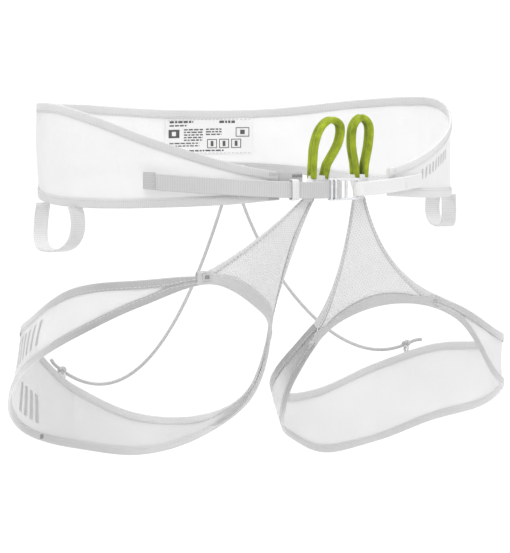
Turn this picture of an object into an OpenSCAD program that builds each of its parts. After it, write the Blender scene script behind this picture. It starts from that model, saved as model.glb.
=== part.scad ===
// Ultralight climbing harness: waist belt, two tie-in loops, two leg loops.
// +Z is up and the front of the harness faces -Y, so the wearer's right is -X.
// The origin is the centre of the waist opening, 34 mm below its highest edge.

/* [Waist belt] */
// Half the width of the waist opening, side to side
waist_half_width = 155; // [145:1:165]
// Half the depth of the waist opening, front to back
waist_half_depth = 110; // [104:1:116]
// Thickness of the laminated panels
panel_t = 0.8; // [0.6:0.1:1]
// How far the edge tape folds over each side of the belt
belt_tape_w = 5.5; // [4:0.5:6]
// Angle that the belt's back centre has turned round the waist
back_turn = 18; // [10:1:20]

/* [Straps] */
// Width of the waist strap
strap_w = 11; // [10:0.5:12]
// Thickness of the strap webbing
strap_t = 1.2; // [1:0.1:1.3]
// Width of a gear loop's tape
gear_tape_w = 11; // [9:0.5:12]
// How far the right gear loop hangs below the belt
right_gear_drop = 29; // [26:1:34]
// How far the left gear loop hangs below the belt
left_gear_drop = 21; // [19:1:26]
// Diameter of the rear elastic cords
cord_d = 2.3; // [1.8:0.1:2.6]

/* [Tie-in loops] */
// Width of the sleeved tape of a tie-in loop
sleeve_w = 8; // [7:0.5:8.5]
// Thickness of the sleeved tape of a tie-in loop
sleeve_t = 4.8; // [4:0.1:5]

/* [Leg loops] */
// Radius of the right leg loop, seen from above
right_leg_r = 88; // [86:1:89]
// Radius of the left leg loop, seen from above
left_leg_r = 82; // [80:1:84]
// How far the edge tape folds over the leg bands and risers
leg_tape_w = 5; // [4:0.5:6]
// How far the tape under a riser folds over the mesh
base_tape_w = 8.5; // [7:0.5:9]

/* [Hidden] */

RIGHT = 0;
LEFT = 1;
fit_gap = 0.15;
tape_t = 0.4;
channel = panel_t / 2 + fit_gap;
binding_half = channel + tape_t;

// Height of the belt's edges, by angle from the back centre to the front.
wing_end = 163;
edge_angles = [0, 30, 60, 90, 110, 130, 150, wing_end];
top_heights = [24.5, 25, 32, 34.5, 27, 12, -3, -10];
bottom_heights = [-17.5, -20, -27, -32, -33, -32, -30, -27.5];
// The top edge stands higher on the right of the back centre.
crest_h = 5.5;

// Leg loops: centre in plan, then edge heights and lean at every 30 degrees, counted
// from the outer side through the front, the crotch and the back. A positive lean
// draws the top edge in towards the thigh, a negative one the bottom edge.
leg_centre = [[-105.5, -28], [99, -28]];
leg_radius = [right_leg_r, left_leg_r];
leg_top = [
  [-106, -83, -77, -76, -88, -112, -163, -185, -185, -163.5, -134, -118],
  [-141, -132.5, -124, -104, -90, -104, -138, -164, -178, -177.5, -161, -146]
];
leg_bottom = [
  [-140, -115, -93, -80, -98, -122, -172, -201, -212, -207, -193, -168],
  [-188, -170, -156, -113.5, -101.5, -116.5, -158, -193, -210, -224, -218, -201]
];
leg_lean = [
  [4, 0, 0, 0, 0, 0, -1, -9, -12, 0, 7, 10],
  [0, 0, 0, 0, 0, 0, -4, -8, -8, -5, 0, 0]
];
outer_corner = [84, 102];
inner_corner = [150, 163];

// Risers: the curved edges run from the riser's top to the two corners.
riser_top = [[-22, -107, -28], [19, -107, -28]];
riser_top_half_w = 4.5;
outer_bend = [[-48.6, -4, -32], [17, -3, -50]];
inner_bend = [[-8, 2.5, -23.4], [-7, 10, -60]];

// Front fittings
strap_z_front = -21.8;
strap_z_tail = -14;
tail_angle = 124.6;
flat_angle = 6;
loop_y = -105;
loop_hinge_z = -9;

// ---------- numbers along a curve ----------

// Smooth value round a closed loop from equally spaced values.
function ring_value(values, angle) =
  let (n = len(values),
       t = ((angle % 360 + 360) % 360) * n / 360,
       i = floor(t),
       f = t - i,
       a = values[(i + n - 1) % n],
       b = values[i % n],
       c = values[(i + 1) % n],
       d = values[(i + 2) % n])
  b + f * (c - a) / 2 + f * f * (a - 2.5 * b + 2 * c - d / 2)
    + f * f * f * (1.5 * (b - c) + (d - a) / 2);

function slope_at(xs, ys, k) =
  let (a = max(k - 1, 0), b = min(k + 1, len(xs) - 1))
  (ys[b] - ys[a]) / (xs[b] - xs[a]);

// Smooth value through stations, held flat beyond the ends.
function line_value(xs, ys, x) =
  let (last = len(xs) - 1, at = min(max(x, xs[0]), xs[last]),
       k = min(len([for (v = xs) if (v <= at) v]) - 1, last - 1),
       h = xs[k + 1] - xs[k],
       t = (at - xs[k]) / h)
  (2 * pow(t, 3) - 3 * t * t + 1) * ys[k] + (pow(t, 3) - 2 * t * t + t) * h * slope_at(xs, ys, k)
    + (3 * t * t - 2 * pow(t, 3)) * ys[k + 1] + (pow(t, 3) - t * t) * h * slope_at(xs, ys, k + 1);

function mix(a, b, t) = a + (b - a) * t;
function unit(v) = v / norm(v);
function steps(n) = [for (i = [0:n]) i / n];

function curve3(a, b, c, t) = mix(mix(a, b, t), mix(b, c, t), t);
function curve4(a, b, c, d, t) = mix(curve3(a, b, c, t), curve3(b, c, d, t), t);

// ---------- swept solids ----------

function quad(a, b, c, d) = [[a, b, c], [a, c, d]];

function cap_faces(first, k, flip) =
  [for (j = [0:k / 2 - 2])
    each let (q = [first + j, first + j + 1, first + k - 2 - j, first + k - 1 - j])
      flip ? quad(q[3], q[2], q[1], q[0]) : quad(q[0], q[1], q[2], q[3])];

function total(values) = values * [for (v = values) 1];
function signed_volume(points, faces) =
  total([for (f = faces) points[f[0]] * cross(points[f[1]], points[f[2]])]);

// Faces turned so that each is clockwise from outside.
function outward(points, faces) =
  signed_volume(points, faces) < 0 ? faces : [for (f = faces) [f[2], f[1], f[0]]];

// A skin over equal rings of points, as [points, faces]. Rings have an even count.
function swept(rings, closed = false) =
  let (n = len(rings),
       k = len(rings[0]),
       spans = closed ? n : n - 1,
       points = [for (r = rings) each r],
       sides = [for (i = [0:spans - 1], j = [0:k - 1])
         each let (m = (i + 1) % n, s = (j + 1) % k)
           quad(i * k + j, m * k + j, m * k + s, i * k + s)],
       ends = closed ? [] : concat(cap_faces(0, k, false), cap_faces((n - 1) * k, k, true)))
  [points, outward(points, concat(sides, ends))];

function shifted_faces(faces, by) = [for (f = faces) [for (v = f) v + by]];

function joined(parts, i = 0, points = [], faces = []) =
  i == len(parts) ? [points, faces]
  : joined(parts, i + 1, concat(points, parts[i][0]),
           concat(faces, shifted_faces(parts[i][1], len(points))));

// Draws one or more separate skins.
module skins(parts) {
  all = joined(parts);
  polyhedron(points = all[0], faces = all[1], convexity = 10);
}

// Flat tape: width along w, thickness along n, about a centre point.
function tape_ring(p, w, n, width, thick) =
  [p - w * width / 2 + n * thick / 2, p + w * width / 2 + n * thick / 2,
   p + w * width / 2 - n * thick / 2, p - w * width / 2 - n * thick / 2];

// Tape folded over an edge at e. What it covers lies along w and is 2 * half - 2 * fit_gap thick.
function folded_ring(e, w, n, width, half = channel) =
  let (face = half + tape_t,
       brow = e - w * (fit_gap + tape_t),
       inside = e - w * fit_gap,
       foot = e + w * width)
  [foot + n * face, brow + n * face, brow - n * face, foot - n * face,
   foot - n * half, inside - n * half, inside + n * half, foot + n * half];

// Rounded tape section with superellipse corners.
function soft_ring(p, w, n, width, thick, count = 10) =
  [for (i = [0:count - 1])
    let (a = 360 * (i + 0.5) / count)
    p + w * (sign(cos(a)) * pow(abs(cos(a)), 0.8) * width / 2)
      + n * (sign(sin(a)) * pow(abs(sin(a)), 0.8) * thick / 2)];

// ---------- waist belt ----------

function belt_out(angle) =
  unit([sin(angle) / waist_half_width, cos(angle) / waist_half_depth, 0]);
function belt_along(angle) = let (o = belt_out(angle)) [o.y, -o.x, 0];
function belt_at(angle, z, out = 0) =
  [waist_half_width * sin(angle), waist_half_depth * cos(angle), z] + belt_out(angle) * out;
function belt_top(angle) =
  line_value(edge_angles, top_heights, abs(angle)) + crest_h * exp(-pow((angle + 30) / 22, 2));
function belt_bottom(angle) = line_value(edge_angles, bottom_heights, abs(angle));

module waist_belt_panel() {
  color("gainsboro")
    skins([swept([for (t = steps(80))
      let (a = mix(-wing_end, wing_end, t), mid = (belt_top(a) + belt_bottom(a)) / 2)
      tape_ring(belt_at(a, mid), [0, 0, 1], belt_out(a), belt_top(a) - belt_bottom(a), panel_t)])]);
}

module belt_binding(top) {
  color("silver")
    skins([swept([for (t = steps(80))
      let (a = mix(-wing_end, wing_end, t))
      folded_ring(belt_at(a, top ? belt_top(a) : belt_bottom(a)), [0, 0, top ? -1 : 1],
                  belt_out(a), belt_tape_w)])]);
}

// Folded patch that closes the tip of a wing.
module wing_end_cover(side) {
  a = (side == RIGHT ? -1 : 1) * wing_end;
  color("whitesmoke")
    skins([swept([for (t = steps(4))
      folded_ring(belt_at(a, mix(belt_bottom(a) + tape_t, belt_top(a) - tape_t, t))
                    + belt_along(a) * sign(a) * tape_t,
                  -belt_along(a) * sign(a), belt_out(a), 0.1)])]);
}

label_angle = back_turn - 5;
label_half_span = 13;
label_z = 5.5;
label_h = 25;
label_t = 0.2;

module size_label() {
  color("white")
    skins([swept([for (t = steps(10))
      let (a = label_angle + mix(-label_half_span, label_half_span, t))
      tape_ring(belt_at(a, label_z, -channel - label_t / 2), [0, 0, 1], belt_out(a), label_h,
                label_t)])]);
}

// ---------- waist strap and buckle ----------

function front_angle(x) = -180 - asin(x / waist_half_width);
function strap_z(angle) =
  mix(strap_z_front, strap_z_tail,
      pow(max(0, (172 - min(abs(angle), 360 - abs(angle))) / (172 - tail_angle)), 1.2));

// The straps run flat across the front, where the buckle lies, and follow the belt beyond.
function flat_front(angle) =
  waist_half_depth * (1 - cos(min(abs(180 - (abs(angle) % 360)), flat_angle)));
function strap_at(angle, out) = belt_at(angle, strap_z(angle), out + flat_front(angle));
// Centre line of a strap from [angle, distance out] pairs.
function strap_line(pairs) = [for (p = pairs) strap_at(p[0], p[1])];

function heading(points, i) =
  unit(points[min(i + 1, len(points) - 1)] - points[max(i - 1, 0)]);

// Flat tape along a centre line, standing on edge along w.
function tape_path(points, w, width, thick) =
  swept([for (i = [0:len(points) - 1])
    tape_ring(points[i], w, unit(cross(heading(points, i), w)), width, thick)]);

// Runs of strap are placed by their distance out from the belt.
inner_run = binding_half + fit_gap + strap_t / 2;
outer_run = inner_run + strap_t + fit_gap;
bar_r = 1.3;
turn_r = bar_r + fit_gap + strap_t / 2;
bar_out = inner_run + turn_r;
anchor_turn_r = turn_r + 0.25;
bar_x = -2.5;
bar_play = 1.2;
frame_mid_x = 2;
frame_len = 26;
frame_h = strap_w + 3.4;
frame_t = 2.1;
rail = 1.35;
end_bar = 2;
cross_bar_x = 4.2;
end_bar_x = frame_mid_x + frame_len / 2 - end_bar / 2;
strap_start_angle = 138;
lift_start = 155;
lift_end = 180 - asin((frame_len / 2 - frame_mid_x + 2) / waist_half_width);

// Half turn of a strap round a bar at x. turn is 1 towards +X and -1 towards -X.
function bar_turn(x, turn, r) =
  [for (t = steps(8))
    [front_angle(x + turn * r * sin(180 * t)), bar_out - r * cos(180 * t)]];

// The tail lies on the belt, and lifts towards the front to pass over the buckle.
function tail_out(angle) =
  mix(outer_run, bar_out + turn_r,
      pow(min(max((abs(angle) - lift_start) / (lift_end - lift_start), 0), 1), 1.5));

module waist_strap() {
  path = strap_line(concat(
    [for (t = steps(20)) [mix(-strap_start_angle, front_angle(bar_x - 1), t), inner_run]],
    bar_turn(bar_x, 1, turn_r),
    [for (t = steps(30))
      let (a = mix(front_angle(bar_x - 1), -tail_angle, t))
      [a, tail_out(a)]]));
  color("gainsboro") skins([tape_path(path, [0, 0, 1], strap_w, strap_t)]);
}

hem_w = 7;
hem_half = strap_t / 2 + 0.2;

// Hem folded over the strap's free end.
module strap_end_fold() {
  tip = strap_at(-tail_angle, outer_run);
  into = unit(strap_at(-tail_angle - 3, outer_run) - tip);
  level = unit([into.x, into.y, 0]);
  color("whitesmoke")
    skins([swept([for (t = steps(4))
      folded_ring(tip + [0, 0, mix(-strap_w, strap_w, t) / 2], level,
                  cross(level, [0, 0, 1]), hem_w, hem_half)])]);
}

keeper_x = -35;
keeper_w = 5;
keeper_gap = 0.8;
keeper_wall = 0.8;

// Ring that holds the tail down on the inner run.
module strap_keeper() {
  a = front_angle(keeper_x);
  middle = strap_at(a, (inner_run + tail_out(a)) / 2);
  half_out = (tail_out(a) - inner_run + strap_t) / 2 + keeper_gap;
  half_h = strap_w / 2 + keeper_gap;
  along = belt_along(a) * keeper_w / 2;
  function corner(c, wall) =
    middle + belt_out(a) * c[0] * (half_out + wall) + [0, 0, c[1] * (half_h + wall)];
  color("silver")
    skins([swept([for (c = [[1, -1], [1, 1], [-1, 1], [-1, -1]])
      [corner(c, 0) - along, corner(c, keeper_wall) - along,
       corner(c, keeper_wall) + along, corner(c, 0) + along]], closed = true)]);
}

module place_buckle() {
  translate([0, -waist_half_depth - bar_out, strap_z_front])
    rotate([90, 0, 0])
      children();
}

module rounded_bar(length, width, thick, r) {
  linear_extrude(height = thick, center = true)
    hull()
      for (x = [-1, 1], y = [-1, 1])
        translate([x * (length / 2 - r), y * (width / 2 - r)])
          circle(r = r, $fn = 24);
}

module buckle_frame() {
  inner_h = frame_h - 2 * rail;
  left_window = [frame_mid_x - frame_len / 2 + end_bar, cross_bar_x - end_bar / 2];
  right_window = [cross_bar_x + end_bar / 2, end_bar_x - end_bar / 2];
  color("lightgray")
    place_buckle()
      difference() {
        translate([frame_mid_x, 0, 0]) rounded_bar(frame_len, frame_h, frame_t, 2.4);
        for (window = [left_window, right_window])
          translate([(window[0] + window[1]) / 2, 0, 0])
            cube([window[1] - window[0], inner_h, frame_t * 2], center = true);
        translate([bar_x, 0, 0])
          cube([2 * (bar_r + bar_play + 0.1), inner_h + rail, 1.6], center = true);
      }
}

module buckle_bar() {
  color("silver")
    place_buckle()
      translate([bar_x, 0, 0]) {
        rotate([90, 0, 0])
          cylinder(r = bar_r, h = frame_h - 2 * rail - 0.4, center = true, $fn = 32);
        rotate([90, 0, 0])
          cylinder(r = 0.65, h = frame_h - rail - 0.4, center = true, $fn = 24);
      }
}

// Short strap that holds the buckle's far bar to the left wing.
module buckle_anchor_strap() {
  near_run = bar_out - anchor_turn_r;
  far_run = bar_out + anchor_turn_r;
  path = strap_line(concat(
    [for (t = steps(10)) [mix(150 - 360, front_angle(end_bar_x + 1), t), near_run]],
    bar_turn(end_bar_x, -1, anchor_turn_r),
    [for (t = steps(8))
      [mix(front_angle(end_bar_x + 2), 156 - 360, t),
       mix(far_run, near_run + strap_t + fit_gap, pow(t, 0.6))]]));
  color("white") skins([tape_path(path, [0, 0, 1], strap_w - 1.6, strap_t)]);
}

// ---------- tie-in loops ----------

loop_line = [
  [[-17.3, -5.6], [-15.8, 8], [-11, 19], [-3, 24.3], [4.6, 20.5], [3.4, 9], [-6, -5.6]],
  [[16.6, -5.6], [14.2, 8], [15.6, 20], [22, 25.5], [28.3, 20], [28, 8], [25, -5.6]]
];

function loop_point(side, t) =
  let (line = loop_line[side], count = [for (i = [0:len(line) - 1]) i], at = t * (len(line) - 1))
  [line_value(count, [for (p = line) p[0]], at), loop_y, line_value(count, [for (p = line) p[1]], at)];

function loop_rings(side, width, thick, count) =
  [for (t = steps(40))
    let (way = unit(loop_point(side, min(t + 0.01, 1)) - loop_point(side, max(t - 0.01, 0))))
    soft_ring(loop_point(side, t), [0, 1, 0], cross(way, [0, 1, 0]), width, thick, count)];

function reversed(list) = [for (i = [len(list) - 1:-1:0]) list[i]];

// Woven sleeve, hollow along its length.
module tie_in_sleeve(side) {
  wall = 0.8;
  color("yellowgreen")
    skins([swept(concat(
      loop_rings(side, sleeve_w, sleeve_t, 10),
      reversed(loop_rings(side, sleeve_w - 2 * wall, sleeve_t - 2 * wall, 10))), closed = true)]);
}

// Load-bearing tape inside the sleeve.
module tie_in_core(side) {
  color("white")
    skins([swept(loop_rings(side, sleeve_w - 2.6, sleeve_t - 2.6, 6))]);
}

// Both ends of the loop, brought together behind the waist strap as the riser's tape.
module tie_in_base(side) {
  ends = [loop_line[side][0][0], loop_line[side][6][0]];
  top_x = (ends[0] + ends[1]) / 2;
  top_w = abs(ends[1] - ends[0]) + sleeve_t;
  low_x = riser_top[side][0];
  stations = [
    [loop_hinge_z - 0.4, top_x, top_w, sleeve_w - 0.6],
    [loop_hinge_z - 5, top_x, top_w, sleeve_w - 0.6],
    [-20, mix(top_x, low_x, 0.7), mix(top_w, 9, 0.6), 4],
    [-26.2, low_x, 8, 2]
  ];
  color("whitesmoke")
    skins([swept([for (s = stations)
      soft_ring([s[1], loop_y, s[0]], [1, 0, 0], [0, 1, 0], s[2], s[3], 12)])]);
}

// ---------- gear loops ----------

gear_angle = [-91, 102];
gear_half_span = [14.5, 10.5];
gear_bulge = [2.5, 0];
gear_drop = [right_gear_drop, left_gear_drop];
gear_gap = 2.3;

function gear_point(side, t) =
  let (a = 180 * t, bend = 0.75,
       across = -sign(cos(a)) * pow(abs(cos(a)), bend) * (0.76 + 0.24 * sqrt(abs(sin(a)))),
       angle = gear_angle[side] + gear_half_span[side] * across)
  belt_at(angle, belt_bottom(gear_angle[side]) - gear_gap
                   - gear_drop[side] * pow(abs(sin(a)), bend), gear_bulge[side] * sin(a));

module gear_loop(side) {
  color("gainsboro")
    skins([tape_path([for (t = steps(36)) gear_point(side, t)], belt_out(gear_angle[side]),
                     gear_tape_w, 1.1)]);
}

// ---------- leg loops ----------

function leg_side(side) = side == RIGHT ? -1 : 1;
function leg_out(side, angle) = [leg_side(side) * cos(angle), -sin(angle), 0];
function leg_top_z(side, angle) = ring_value(leg_top[side], angle);
function leg_bottom_z(side, angle) = ring_value(leg_bottom[side], angle);

// A point on a leg band: rise is 0 at the bottom edge and 1 at the top edge.
function leg_at(side, angle, rise, out = 0) =
  let (lean = ring_value(leg_lean[side], angle),
       r = leg_radius[side] - max(lean, 0) * rise + min(lean, 0) * (1 - rise) + out,
       c = leg_centre[side])
  [c[0], c[1], mix(leg_bottom_z(side, angle), leg_top_z(side, angle), rise)]
    + leg_out(side, angle) * r;

function leg_height(side, angle) = norm(leg_at(side, angle, 1) - leg_at(side, angle, 0));
function leg_rise(side, angle) = unit(leg_at(side, angle, 1) - leg_at(side, angle, 0));

corner_gap = 1.6;
// Angles of the band, from the inner corner round the back to the outer corner.
function band_angle(side, t) =
  mix(inner_corner[side] + corner_gap, outer_corner[side] + 360 - corner_gap, t);

module leg_panel(side) {
  half = panel_t / 2;
  color("gainsboro")
    skins([swept([for (t = steps(64))
      let (a = band_angle(side, t))
      concat([for (rise = steps(5)) leg_at(side, a, rise, half)],
             [for (rise = reversed(steps(5))) leg_at(side, a, rise, -half)])])]);
}

module leg_binding(side, top) {
  color("silver")
    skins([swept([for (t = steps(64))
      let (a = band_angle(side, t), into = leg_rise(side, a) * (top ? -1 : 1))
      folded_ring(leg_at(side, a, top ? 1 : 0), into, leg_out(side, a),
                  min(leg_tape_w, leg_height(side, a) / 2 - 0.3))])]);
}

// ---------- risers ----------

riser_columns = 14;

// A side edge runs from the riser's top to the upper corner of the band's end.
function riser_edge(side, outer, t) =
  let (top = riser_top[side] + [leg_side(side) * riser_top_half_w * (outer ? 1 : -1), 0, 0],
       bend = riser_top[side] + (outer ? outer_bend[side] : inner_bend[side]),
       corner = leg_at(side, outer ? outer_corner[side] : inner_corner[side], 1))
  curve3(top, bend, corner, t);

// The lower edge carries on the bottom edge of the band.
function riser_base(side, across, rise = 0) =
  leg_at(side, mix(inner_corner[side], outer_corner[side], across), rise);

// A point on a riser: across is 0 on its inner edge, down is 0 at its top.
function riser_at(side, across, down) =
  let (inner = riser_edge(side, false, down),
       outer = riser_edge(side, true, down),
       high = riser_base(side, across, 1),
       low = riser_base(side, across, max(0, 1 - min(across, 1 - across) * riser_columns)),
       chord = mix(riser_edge(side, false, 1), riser_edge(side, true, 1), across))
  mix(inner, outer, across) + (high - chord) * pow(down, 2.5) + (low - high) * pow(down, 6);

function riser_out(side, across, down) =
  let (d = 0.02,
       u = riser_at(side, min(across + d, 1), down) - riser_at(side, max(across - d, 0), down),
       v = riser_at(side, across, min(down + d, 1)) - riser_at(side, across, max(down - d, 0)))
  unit(cross(u, v)) * -leg_side(side);

module riser_mesh(side) {
  half = panel_t * 0.35;
  color("white")
    skins([swept([for (down = steps(20))
      concat(
        [for (across = steps(riser_columns))
          riser_at(side, across, down) + riser_out(side, across, down) * half],
        [for (across = reversed(steps(riser_columns)))
          riser_at(side, across, down) - riser_out(side, across, down) * half])])]);
}

// The tapes on a riser stand off a little, as the mesh curves beneath them.
riser_channel = channel + 0.3;

module riser_edge_binding(side, outer) {
  across = outer ? 1 : 0;
  inward = (outer ? riser_columns - 1 : 1) / riser_columns;
  color("silver")
    skins([swept([for (t = steps(20))
      let (down = mix(0.04, 0.8, t), edge = riser_at(side, across, down))
      folded_ring(edge, unit(riser_at(side, inward, down) - edge), riser_out(side, across, down),
                  min(leg_tape_w, 2 + 9 * t), riser_channel)])]);
}

module riser_base_binding(side) {
  drop = 0.3;
  color("silver")
    skins([swept([for (t = steps(20))
      let (across = mix(0.1, 0.88, t),
           edge = riser_base(side, across),
           into = unit(riser_at(side, across, 0.92) - edge))
      folded_ring(edge - into * drop, into, riser_out(side, across, 1), base_tape_w,
                  riser_channel)])]);
}

// Bar-tacked patches on the band beside the riser's two lower corners.
patch_half_span = 3;
patch_t = 0.5;
patch_h = 6;
patch_z = 4.5;
patch_shift = 3.4;

module corner_patches(side) {
  out = binding_half + 0.15 + patch_t / 2;
  function patch(angle) =
    swept([for (t = steps(3))
      let (a = angle + mix(-patch_half_span, patch_half_span, t))
      tape_ring(leg_at(side, a, patch_z / leg_height(side, a), out), leg_rise(side, a),
                leg_out(side, a), patch_h, patch_t)]);
  color("gray")
    skins([patch(outer_corner[side] - patch_shift), patch(inner_corner[side] + patch_shift)]);
}

// ---------- rear cords ----------

cord_line = [
  [[51, 103, -24], [14, 92, -112], [-43, 75, -198], [-114.5, 61.5, -152.5]],
  [[56, 103, -24], [62, 92, -78], [114, 62, -172], [158.5, 31, -146.5]]
];
knot_r = 2.7;

function cord_point(side, t) =
  let (c = cord_line[side]) curve4(c[0], c[1], c[2], c[3], t);

function cord_ring(points, i) =
  let (way = heading(points, i), w = unit(cross(way, [0, 1, 0])))
  soft_ring(points[i], w, cross(w, way), cord_d, cord_d, 8);

module rear_cord(side) {
  points = [for (t = steps(36)) cord_point(side, t * 0.965)];
  color("white") skins([swept([for (i = [0:36]) cord_ring(points, i)])]);
}

tail_way = [[-8, 0, 9], [10, -4, 2]];
// Distance along the tail and diameter there, for the knot and the tail that leaves it.
knot_shape = [[-2.7, 1.2], [-2.1, 3.6], [-0.8, 5.2], [0.8, 5.2], [2.1, 3.6], [2.8, cord_d],
              [11, cord_d]];

// Overhand knot at the cord's lower end, with its free tail.
module cord_knot(side) {
  at = cord_point(side, 1);
  way = unit(tail_way[side]);
  w = unit(cross(way, [0, 1, 0]));
  color("white")
    skins([swept([for (s = knot_shape)
      soft_ring(at + way * s[0], w, cross(w, way), s[1], s[1], 10)])]);
}

// Small tape loop on the band's top edge that the cord is tied through.
module cord_tab(side) {
  at = cord_point(side, 1) - [0, 0, knot_r + 0.4];
  color("silver")
    translate(at)
      rotate([0, 0, side == RIGHT ? 10 : 40])
        translate([0, 0, -0.8])
          cube([5, 3, 1.2], center = true);
}

// Tab under the belt's back that both cords run from.
module cord_anchor_tab() {
  a = back_turn + 3;
  drop = binding_half + 0.6;
  color("silver")
    translate(belt_at(a, belt_bottom(a) - drop - 1))
      rotate([0, 0, -a])
        cube([14, 2, 2], center = true);
}

waist_belt_panel();
belt_binding(true);  // belt_top_binding
belt_binding(false);  // belt_bottom_binding
wing_end_cover(RIGHT);  // wing_end_cover_right
wing_end_cover(LEFT);  // wing_end_cover_left
size_label();
waist_strap();
strap_end_fold();
strap_keeper();
buckle_frame();
buckle_bar();
buckle_anchor_strap();
tie_in_base(RIGHT);  // tie_in_base_right
tie_in_base(LEFT);  // tie_in_base_left
tie_in_sleeve(RIGHT);  // tie_in_sleeve_right
tie_in_core(RIGHT);  // tie_in_core_right
tie_in_sleeve(LEFT);  // tie_in_sleeve_left
tie_in_core(LEFT);  // tie_in_core_left
gear_loop(RIGHT);  // gear_loop_right
gear_loop(LEFT);  // gear_loop_left
cord_anchor_tab();
rear_cord(RIGHT);  // rear_cord_right
rear_cord(LEFT);  // rear_cord_left
cord_knot(RIGHT);  // cord_knot_right
cord_knot(LEFT);  // cord_knot_left
cord_tab(RIGHT);  // cord_tab_right
cord_tab(LEFT);  // cord_tab_left
leg_panel(RIGHT);  // leg_panel_right
leg_panel(LEFT);  // leg_panel_left
leg_binding(RIGHT, true);  // leg_top_binding_right
leg_binding(LEFT, true);  // leg_top_binding_left
leg_binding(RIGHT, false);  // leg_bottom_binding_right
leg_binding(LEFT, false);  // leg_bottom_binding_left
riser_mesh(RIGHT);  // riser_mesh_right
riser_mesh(LEFT);  // riser_mesh_left
riser_edge_binding(RIGHT, true);  // riser_outer_binding_right
riser_edge_binding(LEFT, true);  // riser_outer_binding_left
riser_edge_binding(RIGHT, false);  // riser_inner_binding_right
riser_edge_binding(LEFT, false);  // riser_inner_binding_left
riser_base_binding(RIGHT);  // riser_base_binding_right
riser_base_binding(LEFT);  // riser_base_binding_left
corner_patches(RIGHT);  // corner_patches_right
corner_patches(LEFT);  // corner_patches_left
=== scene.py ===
"""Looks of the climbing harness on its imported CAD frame.

Lengths are in mm until Shape.build turns them into metres. Angles are in degrees: round the belt
they run from the back centre towards +X, round a leg loop from its outer side through the front.
"""

import bpy
import numpy as np
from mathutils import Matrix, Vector


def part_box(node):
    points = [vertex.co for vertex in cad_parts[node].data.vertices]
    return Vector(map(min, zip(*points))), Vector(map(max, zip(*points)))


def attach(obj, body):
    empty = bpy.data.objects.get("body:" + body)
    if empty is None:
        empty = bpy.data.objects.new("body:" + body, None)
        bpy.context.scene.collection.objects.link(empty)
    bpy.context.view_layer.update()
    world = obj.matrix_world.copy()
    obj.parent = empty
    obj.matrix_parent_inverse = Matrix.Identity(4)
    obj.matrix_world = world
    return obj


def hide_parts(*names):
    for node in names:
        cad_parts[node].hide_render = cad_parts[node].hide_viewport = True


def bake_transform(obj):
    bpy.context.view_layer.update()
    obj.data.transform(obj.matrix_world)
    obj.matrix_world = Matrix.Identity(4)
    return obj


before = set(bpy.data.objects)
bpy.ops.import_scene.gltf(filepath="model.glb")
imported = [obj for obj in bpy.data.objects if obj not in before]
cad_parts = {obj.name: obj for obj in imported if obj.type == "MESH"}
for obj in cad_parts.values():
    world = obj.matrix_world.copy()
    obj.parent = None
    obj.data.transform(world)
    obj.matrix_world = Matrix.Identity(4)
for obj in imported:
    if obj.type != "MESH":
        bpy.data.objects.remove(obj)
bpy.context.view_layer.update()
RIGHT, LEFT = 0, 1
NAMES, SIGN = ("right", "left"), (-1, 1)
rng = np.random.default_rng(7)

# ---------------- curves

panel_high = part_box("waist_belt_panel")[1]
HALF_W = panel_high.x * 1000 - 0.4
HALF_D = panel_high.y * 1000 - 0.4
WING_END = 163
EDGE_ANGLES = [0, 30, 60, 90, 110, 130, 150, 163]
TOP_HEIGHTS = [24.5, 25, 32, 34.5, 27, 12, -3, -10]
BOTTOM_HEIGHTS = [-17.5, -20, -27, -32, -33, -32, -30, -27.5]
BACK_TURN = 18

LEG_CENTRE = np.array([[-105.5, -28], [99, -28]], float)
LEG_RADIUS = [88, 82]
LEG_TOP = [[-106, -83, -77, -76, -88, -112, -163, -185, -185, -163.5, -134, -118],
           [-141, -132.5, -124, -104, -90, -104, -138, -164, -178, -177.5, -161, -146]]
LEG_BOTTOM = [[-140, -115, -93, -80, -98, -122, -172, -201, -212, -207, -193, -168],
              [-188, -170, -156, -113.5, -101.5, -116.5, -158, -193, -210, -224, -218, -201]]
LEG_LEAN = [[4, 0, 0, 0, 0, 0, -1, -9, -12, 0, 7, 10],
            [0, 0, 0, 0, 0, 0, -4, -8, -8, -5, 0, 0]]
OUTER_CORNER = [84, 102]
INNER_CORNER = [150, 163]
RISER_TOP = np.array([[-22, -107, -28], [19, -107, -28]], float)
OUTER_BEND = np.array([[-48.6, -4, -32], [17, -3, -50]], float)
INNER_BEND = np.array([[-8, 2.5, -23.4], [-7, 10, -60]], float)
CORD = np.array([[[51, 103, -24], [14, 92, -112], [-43, 75, -198], [-114.5, 61.5, -152.5]],
                 [[56, 103, -24], [62, 92, -78], [114, 62, -172], [158.5, 31, -146.5]]], float)
FRONT, ALONG_X, ALONG_Y, UP = np.array([[0, -1, 0], [1, 0, 0], [0, 1, 0], [0, 0, 1]], float)
CLOTH_T = 0.45
# How far edge tapes reach over their cloth.
BELT_FOLD, WING_FOLD, HEM_FOLD, LEG_FOLD, BASE_FOLD = 5.5, 7.0, 7.5, 5.0, 8.5
PRINT_OUT, PRINT_T = 0.26, 0.06
STITCH, TURNED, TACK = 1, 2, 3  # a taped piece's materials for its stitches, its turned inner edge in painted seam shade, and tack
LOOP_Y = -105
LOOP = [[[-17.3, -5.6], [-15.8, 8], [-11, 19], [-3, 24.3], [4.6, 20.5], [3.4, 9], [-6, -5.6]],
        [[16.6, -5.6], [14.2, 8], [15.6, 20], [22, 25.5], [28.3, 20], [28, 8], [25, -5.6]]]


def ring_value(values, angle):
    """Smooth value round a closed loop from equally spaced values."""
    v = np.array(values, float)
    n = len(v)
    t = (np.asarray(angle, float) % 360) * n / 360
    i = np.floor(t).astype(int)
    f = t - i
    a, b, c, d = (v[(i + k) % n] for k in (-1, 0, 1, 2))
    return (b + f * (c - a) / 2 + f * f * (a - 2.5 * b + 2 * c - d / 2)
            + f ** 3 * (1.5 * (b - c) + (d - a) / 2))


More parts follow.
